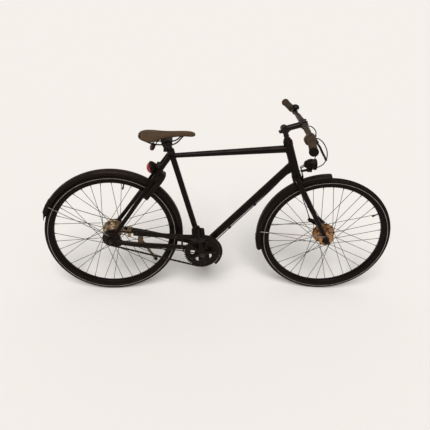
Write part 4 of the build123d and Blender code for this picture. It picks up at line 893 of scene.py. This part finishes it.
# ---- ring lock ------------------------------------------------------------------------------
LOCK_ANGLE = radians(53.5)
lu, lt = Vector((cos(LOCK_ANGLE), 0, sin(LOCK_ANGLE))), Vector((-sin(LOCK_ANGLE), 0, cos(LOCK_ANGLE)))
lk = Shape()
lk.add(turned([(0, 1.2), (7.2, 1.2), (8.6, 0.6), (9.0, -1), (0, -1)], AX_R + lu * 413 + SIDE * -46 + lt * 0, -SIDE + lu * 0.35, 32), 0)
lk.add(pipe([AX_R + lu * 413 + SIDE * -47.2 - lt * 3.4, AX_R + lu * 413 + SIDE * -47.2 + lt * 3.4], 1.0, 8), 1)
lk.add(pipe(smooth_line([AX_R + lu * 372 + SIDE * 50.5, AX_R + lu * 372 + SIDE * 56, AX_R + lu * 364 + SIDE * 59], 4), [4.2] * 4 + [5.0] * 4 + [6.0], 14), 0)
for s_ in (-1, 1):
    lk.add(pipe([AX_R + lu * 330 + SIDE * (s_ * 43) + lt * 12.9, AX_R + lu * 398 + SIDE * (s_ * 43) + lt * 12.9], 1.6, 8), 0)
    lk.add(bolt(AX_R + lu * 402 + SIDE * (s_ * 40) + lt * 13.0, lt, 3.6), 1)
    lk.add(bolt(AX_R + lu * 326 + SIDE * (s_ * 43) + lt * 13.0, lt, 3.2), 1)
lk.add(pipe([AX_R + lu * 300 + SIDE * 43, AX_R + lu * 300 + SIDE * 34.5], 4.6, 14), 1)
piece("ring_lock_fittings", lk, [PLASTIC, ZINC], "frame")

# ---- chain guard edge -----------------------------------------------------------------------
ge = Shape()
line = [Vector((x, -51.9, z)) for x, z in ((112, 402.2), (180, 394.4), (250, 386.2), (296, 381.4), (340, 377.4), (400, 376.8), (440, 377.0))]
line += [polar(BB, 106.4, a, -51.9) for a in range(92, -45, -4)]
ge.add(pipe(smooth_line(line, 3), 1.9, 10), 0)
low = [Vector((x, -51.9, z)) for x, z in ((112, 371.6), (250, 360.6), (340, 352.6))]
ge.add(pipe(low, 1.5, 8), 0)
for p in ((130, 387), (330, 366)):
    ge.add(bolt((p[0], -52.8, p[1]), (0, -1, 0), 4.4), 1)
ge.add(bolt((363, -52.8, 300), (0, -1, 0), 4.4), 1)
piece("chain_guard_edge", ge, [BLACK_METAL, ZINC], "frame")

# ---- head set, stem, bar ----------------------------------------------------------------------
hs = Shape()
for z, r_ in ((884.6, 22.4), (889.4, 18.6)):
    hs.add(turned([(17.4, -0.2), (r_, -0.1), (r_ + 0.5, 0.7), (r_ + 0.3, 2.4), (r_ - 0.4, 3.2), (17.4, 3.2)], on_head(z), HEAD_DIR, 48, True), 0)
hs.add(turned([(24.4, -3.2), (25.0, -2.6), (25.0, -0.8), (24.2, -0.1), (17, -0.1), (17, -3.2)], on_head(697.6), HEAD_DIR, 48, True), 0)
hs.add(nut(on_head(892.4), HEAD_DIR, 33.5, 6.6, 13.2), 0)
piece("headset_rings", hs, BLACK_METAL, "steering")

KNUCKLE, BAR_MID = Vector((838, 0, 948)), Vector((926, 0, 979))
st = Shape()
for s_ in (-1, 1):
    st.add(turned([(0, 0.8), (3.6, 0.8), (3.6, 3.0), (4.4, 3.4), (9.4, 2.6), (10.2, 1.0), (15.2, 0.6), (16.4, 0), (16.6, -1), (0, -1)], KNUCKLE + SIDE * (s_ * 17), (0, s_, 0), 40, False, hexed=(1, 2)), 0)
    st.add(bolt(KNUCKLE + Vector((-22.4, s_ * 9, -16)), (-1, 0, -0.16), 3.8), 1)
    for dz in (-12.5, 12.5):
        side_ = (BAR_MID - KNUCKLE).normalized()
        upw = Vector((-side_.z, 0, side_.x))
        st.add(pipe([BAR_MID + side_ * 6 + upw * dz + SIDE * (s_ * 14.5), BAR_MID + side_ * 17.5 + upw * dz + SIDE * (s_ * 14.5)], [5.2, 4.6], 16), 0)
        st.add(bolt(BAR_MID + side_ * 17.5 + upw * dz + SIDE * (s_ * 14.5), side_, 3.7), 1)
st.add(turned([(12.7, -1.0), (13.6, -0.6), (13.6, 0.6), (12.7, 1.0)], on_head(912), HEAD_DIR, 40, True), 0)
side_ = (BAR_MID - KNUCKLE).normalized()
st.add(turned([(14.6, -1.2), (15.6, -0.8), (15.6, 0.8), (14.6, 1.2)], KNUCKLE + side_ * 24, side_, 40, True), 0)
piece("stem_fittings", st, [BLACK_METAL, ZINC], "steering")

BAR_R = 11.1
rod = Shape()
for s_ in (-1, 1):
    k1, k2, e_ = Vector((925, s_ * 110, 978)), Vector((917, s_ * 200, 980)), Vector((897, s_ * 335, 980))
    line = [BAR_MID + Vector((0, s_ * y, 0)) for y in (0, 16, 30, 38, 44)] + smooth_line([BAR_MID + Vector((-0.2, s_ * 62, -0.3)), k1, k1.lerp(k2, 0.42), k2 * 0.55 + k1 * 0.45, k2, k2.lerp(e_, 0.5), e_], 6)
    rad = []
    for q in line:
        y = abs(q.y)
        rad.append(15.9 if y < 42 else 15.9 - 1.6 * (y - 42) / 18 if y < 60 else 14.3 - 0.7 * (y - 60) / 50 if y < 110 else 13.6 - 2.4 * (y - 110) / 34 if y < 144 else BAR_R)
    rod.add(pipe(line, rad, 32, up=(0, 0, 1)), 0)
piece("handlebar_tube", rod, BAR_METAL, "steering", replaces=("handlebar",))
BAR_KNEE, BAR_END = (Vector((925, 110, 978)), Vector((917, 200, 980))), Vector((897, 335, 980))


def bar_at(side, y):
    k1, k2, e_ = [Vector((p.x, side * p.y, p.z)) for p in (*BAR_KNEE, BAR_END)]
    p, q = (k1, k2) if y < 200 else (k2, e_)
    return p + (q - p) * ((y - abs(p.y)) / (abs(q.y) - abs(p.y)))


gp = Shape()
for s_ in (-1, 1):
    p, q = bar_at(s_, 226), bar_at(s_, 334.9)
    L = (q - p).length
    prof = [(11.4, 0), (18.2, 0), (19.0, 1.0), (19.0, 3.4), (18.0, 4.6), (16.6, 5.6)]
    h = 7.0
    while h < L - 11:
        g_ = 0.4 + 1.5 * max(0.0, (h - 0.55 * L) / (0.45 * L)) ** 1.5
        prof += [(16.9 + g_, h), (17.25 + g_, h + 0.8), (17.25 + g_, h + 2.8), (16.9 + g_, h + 3.6), (16.1 + g_, h + 4.1), (16.1 + g_, h + 4.9)]
        h += 5.4
    prof += [(18.4, L - 7.6), (19.6, L - 6.0), (20.2, L - 3.5), (20.2, L - 0.6)]
    prof2 = [(20.2, L - 0.6), (19.9, L + 1.4), (18.6, L + 3.2), (16.0, L + 4.0), (6.0, L + 3.6), (5.0, L + 3.0), (0, L + 3.0)]
    gp.add(turned(prof, p, q - p, 44), 0)
    gp.add(turned(prof2, p, q - p, 44), 1)
piece("grip_sleeves", gp, [RUBBER, RUBBER_BLACK], "steering", smooth=32, replaces=("grips",))

# ribs of the gear twist grip and its window
tw = Shape()
p, q = bar_at(-1, 201.6), bar_at(-1, 223.4)
x_, y_, d_ = basis(q - p)
L = (q - p).length
for k in range(20):
    a = 2 * pi * k / 20
    rad = x_ * cos(a) + y_ * sin(a)
    tw.add(pipe([p + rad * 19.4, p + rad * 20.3 + d_ * 2, q + rad * 18.4 - d_ * 2, q + rad * 17.4], [0.6, 1.5, 1.4, 0.6], 8), 0)
tw.add(turned([(20.8, -1.2), (21.8, -0.6), (21.8, 0.6), (20.8, 1.2)], bar_at(-1, 200.8), d_, 44, True), 1)
c = bar_at(-1, 186) + Vector((-6, 0, -8))
tw.add(bolt(c + Vector((-10, -12.2, 14)), -SIDE, 3.4), 2)
tw.add(turned([(0, 1.0), (5.5, 0.9), (6.8, 0.2), (6.8, -0.8), (0, -0.8)], bar_at(-1, 186) + Vector((-3, 0, 21.6)), (-0.15, 0, 1), 28), 1)
piece("shifter_fittings", tw, [RUBBER, PLASTIC, ZINC], "steering")

# brake lever: clamp, body, blade and adjuster
bl = Shape()
p, q = bar_at(-1, 150), bar_at(-1, 166)
bl.add(turned([(11.6, 0), (15.6, 0), (16.5, 0.9), (16.5, (q - p).length - 0.9), (15.6, (q - p).length), (11.6, (q - p).length)], p, q - p, 40, True), 0)
lv = bar_at(-1, 158)
bl.add(pipe(smooth_line([lv + Vector((8, 2, 0)), lv + Vector((17, 0, -5)), Vector((947, -166, 963)), Vector((954, -179, 954))], 5), [8.4] * 5 + [9.2] * 5 + [8.6] * 5 + [6.5], 18), 0)
blade_line = smooth_line([(944, -162, 966), (953, -178, 955), (961, -190, 946), (965.5, -203, 938), (968, -217, 931.5), (970.5, -232, 926.5), (973, -248, 921.5), (975, -261, 917), (975.8, -266, 915)], 5)
n = len(blade_line)
bl.add(pipe(blade_line, [5.6 + 1.6 * sin(pi * min(1.0, i / (n - 1) * 1.05)) + (1.4 if i > n - 9 else 0.0) for i in range(n - 1)] + [4.4], 18, flat=0.72, up=(0.8, 0, 0.55)), 0)
bl.add(turned([(0, 1.6), (1.8, 1.6), (3.6, 1.0), (4.0, 0), (4.0, -18), (3.6, -19), (0, -19.4)], Vector((948.5, -167, 972)), Vector((0.25, -0.2, 0.9)), 24), 1)
ad = Vector((952, -138, 975))
ad_d = Vector((-0.45, -0.75, -0.1)).normalized()
bl.add(turned([(2.6, 0), (3.4, 0), (3.4, 4), (5.4, 4.2), (5.6, 10.5), (4.6, 11), (4.2, 26), (2.6, 26)], ad - ad_d * 2, ad_d, 24, True), 0)
bl.add(bolt(lv + Vector((-15.8, -1, -3.5)), Vector((-1, 0, -0.2)), 3.6), 1)
piece("brake_lever_blade", bl, [BLACK_METAL, ZINC], "steering", replaces=("brake_lever",))

# bell: cap, skirt and thumb lever over the turned body
be = Shape()
bc = bar_at(1, 178)
be.add(turned([(19.4, 21.2), (20.2, 21.0), (20.4, 22.0), (19.8, 26), (17.8, 31.5), (13.5, 36), (7.5, 38.4), (2.4, 38.9), (2.2, 40.2), (0, 40.4)], bc, (0, 0, 1), 56), 0)
be.add(turned([(7, 15.5), (18.2, 16.4), (18.9, 17.2), (18.9, 20.0), (18.2, 20.8), (7, 20.8)], bc, (0, 0, 1), 56, True), 1)
be.add(pipe(smooth_line([bc + Vector((-12, 0, 18.4)), bc + Vector((-21, -3, 18.6)), bc + Vector((-27, -7, 20.5))], 5), [3.2] * 5 + [3.8] * 5 + [4.8], 14, flat=0.5, up=(0, 0, 1)), 1)
piece("bell_cap", be, [BLACK_METAL, PLASTIC], "steering")

# ---- headlight --------------------------------------------------------------------------------
LAMP, LD = Vector((960, 0, 766)), Vector((1, 0, 0.03)).normalized()
hl = Shape()
hl.add(turned([(24.4, 56.4), (19, 55.4), (12, 54.9), (5.2, 54.6)], LAMP + LD * 1.2, LD, 56), 0)
hl.add(turned([(0, 57.6), (2.6, 57.2), (4.4, 56.2), (4.6, 55.2), (0, 55.0)], LAMP + LD * 1.0, LD, 24), 1)
hl.add(turned([(24.6, 57.2), (25.6, 55.4), (27.8, 51.6), (28.8, 51.6), (28.9, 56.4), (27.6, 59.0), (25.6, 59.4), (24.6, 58.6)], LAMP + LD * 0.6, LD, 64, True), 2)
for h in (20.0, 26.0, 32.0, 38.0):
    rr = 23.4 + (27.2 - 22.0) * (h - 16) / 18 * 0.9
    hl.add(turned([(rr - 1.2, h - 1.3), (min(rr + 1.0, 28.6), h - 0.8), (min(rr + 1.0, 28.6), h + 0.8), (rr - 1.2, h + 1.3)], LAMP, LD, 56, True), 2)
hl.add(bolt(Vector((990, -10.5, 737)), (0, -1, 0), 4.6), 3)
hl.add(bolt(Vector((990, 10.5, 737)), (0, 1, 0), 4.6), 3)
hl.add(bolt(on_head(680, 29), HEAD_FWD, 5.0), 3)
piece("headlight_front", hl, [MIRROR, LED, PLASTIC, ZINC], "steering")
gl = Shape()
gl.add(turned([(24.9, 57.6), (20, 59.8), (12, 61.3), (0, 61.9), (0, 60.5), (12, 59.9), (19.6, 58.5), (24.9, 56.6)], LAMP + LD * 0.6, LD, 64), 0)
piece("headlight_glass", gl, CLEAR, "steering")

# ---- brakes, gear joint ----------------------------------------------------------------------
br = Shape()
br.add(turned([(8.2, 50.0), (28.5, 50.0), (29.6, 50.8), (29.0, 51.6), (20, 52.2), (8.2, 52.2)], AX_F, SIDE, 56, True), 0)
for k in range(4):
    br.add(bolt(polar(AX_F, 24, 90 * k + 30, 51.6), SIDE, 2.8), 1)
br.add(bolt((1044, 50.0, 412), SIDE, 4.0), 1)
br.add(bolt((1044, 43.0, 412), -SIDE, 4.0), 1)
br.add(bolt((1092, 62.0, 396), SIDE, 3.6), 1)
br.add(pipe([(1048, 50, 422), (1050, 49.4, 417), (1051, 49, 412)], 1.1, 8), 1)
br.add(pipe([(1042.5, 50.8, 438), (1046, 50.3, 428), (1048.3, 49.9, 421.4)], [3.4, 3.4, 2.9], 12), 0)
piece("front_brake_fittings", br, [BLACK_METAL, ZINC], "steering")
ra = Shape()
for r_ in (41.0, 45.5, 50.0):
    ra.add(turned([(r_ - 1.0, 39.8), (r_ - 0.6, 38.9), (r_ + 0.6, 38.9), (r_ + 1.0, 39.8)], AX_R, SIDE, 72, True), 0)
ra.add(turned([(53.4, 41.2), (54.6, 41.8), (54.8, 43.8), (54.6, 45.6), (53.4, 46.4)], AX_R, SIDE, 96, True), 0)
ra.add(turned([(8.2, 49.6), (21, 49.6), (24.8, 50.2), (25.2, 51.0), (23, 51.8), (8.2, 51.8)], AX_R, SIDE, 56, True), 0)
ra.add(bolt((88, 50.6, 320), SIDE, 4.4), 1)
for z in (302, 349.5):
    ra.add(bolt((83, 50, z), (0, 0, -1 if z < 320 else 1), 4.0), 1)
# dark cable stop ahead of the joint, round the stay
ra.add(turned([(13.5, -8), (14.2, -7.4), (14.2, 7.4), (13.5, 8), (11.5, 8), (11.5, -8)], Vector((104, 56.5, 329)), Vector((1, -0.05, -0.14)), 40, True), 2)
piece("rear_brake_fittings", ra, [HUB_TAN, ZINC, BLACK_METAL], "frame")
gj = Shape()
gj.add(turned([(8.4, -60.0), (24.5, -60.0), (26.2, -61.0), (26.4, -62.2), (25, -62.8), (14, -63.0), (13, -61.6), (8.4, -61.6)], AX_R, SIDE, 56, True), 0)
gj.add(turned([(2.6, 0), (3.3, 0), (3.3, 9), (4.9, 9.3), (4.9, 15), (3.3, 15.4), (3.3, 22), (2.6, 22)], Vector((34, -56.8, 326.2)), Vector((-0.99, 0.02, -0.07)), 24, True), 1)
gj.add(bolt((14, -62.4, 334), -SIDE, 3.4), 1)
piece("gear_joint_fittings", gj, [PLASTIC, ZINC], "frame")

# ---- side stand ---------------------------------------------------------------------------------
PIV = UPRIGHT @ Vector((141, 88, 252)) * 1000.0
FOOT = Vector((-341.8483, 137.0574, 9.0))
AXIS = Vector((-0.2138385495325741, 0.9749475989009894, 0.06123931850535498))
leg = (FOOT - PIV).normalized()
sd = Shape()
sd.add(turned([(8.4, -24), (9.0, -23), (9.4, -14), (10.0, -3), (10.2, 1.0), (9.9, 5.0), (8.0, 8.2), (4.2, 9.4), (0, 9.6)], FOOT - leg * 0.4, leg, 40), 0)
for h in (-18, -12, -6):
    sd.add(turned([(9.0, h - 1.0), (10.1 + (h + 18) * 0.03, h), (9.0, h + 1.0)], FOOT, leg, 40, True), 0)
sd.add(turned([(0, 1.4), (3.4, 1.4), (3.4, 3.2), (4.2, 3.8), (8.2, 3.2), (9.0, 1.4), (9.0, 0), (0, 0)], PIV + AXIS * 9.0, AXIS, 36, False, hexed=(1, 2)), 1)
sd.add(turned([(8.6, -1.4), (9.6, -0.8), (9.6, 0.8), (8.6, 1.4)], PIV + leg * 22, leg, 32, True), 2)
piece("stand_foot_and_bolt", sd, [RUBBER_BLACK, ZINC, STAND_TAN], "stand", space=ROW)
sb = Shape()
for x in (132.5, 149.5):
    sb.add(bolt((x, 76.0, 300), SIDE, 4.6), 1)
    sb.add(bolt((x, 68.0, 239.8), (0, 0, -1), 4.6), 1)
piece("stand_bracket_bolts", sb, [STAND_TAN, ZINC], "frame")

# ---- cables: guides on the down tube, ferrules, and the bend that crosses the head -----------------------
down_a, down_b = Vector((474, 0, 270)), on_head(765)
DOWN_DIR = (down_b - down_a).normalized()
DOWN_LOW = Vector((DOWN_DIR.z, 0, -DOWN_DIR.x))


def under_down(x, off, side):
    return down_a + DOWN_DIR * ((x - down_a.x) / DOWN_DIR.x) + DOWN_LOW * off + SIDE * side


gd = Shape()
for x, off, side in ((858, 24.5, 13), (716, 23.4, -5.6), (596, 21.8, -9)):
    c = under_down(x, off, side)
    gd.add(turned([(2.6, -7), (4.4, -7), (5.0, -6.2), (5.0, 6.2), (4.4, 7), (2.6, 7)], c, DOWN_DIR, 24, True), 0)
    gd.add(pipe([c - DOWN_LOW * 1.5, c - DOWN_LOW * (off - 17)], [4.6, 5.2], 14), 0)
for p, q in (((392, -30, 259), (352, -35, 270)), ((192, -55, 298.5), (152, -57, 305))):
    p, q = Vector(p), Vector(q)
    gd.add(turned([(2.6, -5), (4.0, -5), (4.4, -4.2), (4.4, 4.2), (4.0, 5), (2.6, 5)], p.lerp(q, 0.5), q - p, 24, True), 0)
    gd.add(pipe([p.lerp(q, 0.5), p.lerp(q, 0.5) + Vector((0, 3, 10))], [3.4, 3.0], 10), 0)
piece("cable_guides", gd, PLASTIC, "frame")

a3 = Matrix.Translation(on_head(AXLE_Z)) @ Matrix.Rotation(radians(STEER), 4, HEAD_DIR) @ Matrix.Translation(-on_head(AXLE_Z))
A_END, A_BEFORE = a3 @ Vector((964, 28, 714)), a3 @ Vector((998, 32, 722))
B_END, B_AFTER = Vector((920, 33, 709)), Vector((897, 27, 697))
ta, tb = (A_END - A_BEFORE).normalized(), (B_AFTER - B_END).normalized()
span = (B_END - A_END).length
c0, c1, c2, c3 = A_END - ta * 1.5, A_END + ta * span * 0.36, B_END - tb * span * 0.36, B_END + tb * 1.5
line = []
for k in range(25):
    t = k / 24
    line.append(c0 * (1 - t) ** 3 + c1 * 3 * t * (1 - t) ** 2 + c2 * 3 * t * t * (1 - t) + c3 * t ** 3)
bend = piece("gear_cable_bend", pipe(line, 2.56, 14), CABLE, None, space=UPRIGHT)
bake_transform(bend)

# ---- weld beads -----------------------------------------------------------------------------------
def bead_on_tube(origin, direction, radius, far_origin, far_direction, far_radius, width=2.6, n=72, part=(0.0, 360.0)):
    """The line where a tube meets a round tube of radius far_radius, found by walking out from the far tube's axis along each edge line of the near tube."""
    x, y, d = basis(direction)
    fd = Vector(far_direction).normalized()
    out = []
    for k in range(n):
        t = radians(part[0] + (part[1] - part[0]) * k / n)
        p = Vector(origin) + x * (radius * cos(t)) + y * (radius * sin(t))
        w = p - Vector(far_origin)
        w1, d1 = w - fd * w.dot(fd), d - fd * d.dot(fd)
        qa, qb, qc = d1.dot(d1), 2 * w1.dot(d1), w1.dot(w1) - far_radius ** 2
        disc = qb * qb - 4 * qa * qc
        if disc < 0:
            continue
        out.append(p + d * ((-qb + sqrt(disc)) / (2 * qa)))
    return out


welds = Shape()
seat_top_pt = on_seat(797)
JOINS = (
    # near tube's start, direction, radius there, far axis point, direction, radius
    (on_head(846), seat_top_pt - on_head(846), 18.6, on_head(800), HEAD_DIR, 21.5),
    (down_b, down_a - down_b, 20.2, on_head(800), HEAD_DIR, 21.5),
    (seat_top_pt, on_head(846) - seat_top_pt, 12.3, BB, seat_dir, 14.6),
    (down_a, down_b - down_a, 18.7, BB, SIDE, 21.0),
    (BB, seat_dir, 14.6, BB, SIDE, 21.0),
)
for o_, d_, r_, fo, fd, fr in JOINS:
    ring = bead_on_tube(o_, d_, r_, fo, fd, fr)
    if len(ring) > 40:
        welds.add(pipe(ring, 2.7, 10, loop=True), 0)
for s_ in (-1, 1):
    a_, b_ = Vector((18, s_ * 63, 377)), Vector((286, s_ * 22, 798))
    ring = bead_on_tube(b_, a_ - b_, 11.9, BB, seat_dir, 14.6)
    if len(ring) > 40:
        welds.add(pipe(ring, 2.2, 10, loop=True), 0)
piece("weld_beads", welds, PAINT, "frame", smooth=180)

# ---- floor and light ---------------------------------------------------------------------------------
floor = bpy.data.meshes.new("floor")
floor.from_pydata([(-90, -90, 0), (90, -90, 0), (90, 90, 0), (-90, 90, 0)], [], [(0, 1, 2, 3)])
fo = bpy.data.objects.new("floor", floor)
bpy.context.scene.collection.objects.link(fo)
fm = bpy.data.materials.new("floor_paper")
fm.use_nodes = True
fb = fm.node_tree.nodes["Principled BSDF"]
fb.inputs["Base Color"].default_value = (0.906, 0.880, 0.850, 1)
fb.inputs["Roughness"].default_value = 0.95
fb.inputs["Specular IOR Level"].default_value = 0.0
floor.materials.append(fm)

world = bpy.data.worlds.new("studio")
bpy.context.scene.world = world
world.use_nodes = True
world.node_tree.nodes["Background"].inputs["Color"].default_value = (1.0, 0.985, 0.965, 1)
world.node_tree.nodes["Background"].inputs["Strength"].default_value = 0.44

sun = bpy.data.objects.new("soft_sky", bpy.data.lights.new("soft_sky", "SUN"))
sun.data.energy = 2.06
sun.data.angle = radians(34)
sun.data.color = (1.0, 0.985, 0.965)
sun.rotation_euler = (radians(29), radians(-8), 0)
bpy.context.scene.collection.objects.link(sun)
bpy.context.scene.view_settings.view_transform = "Standard"
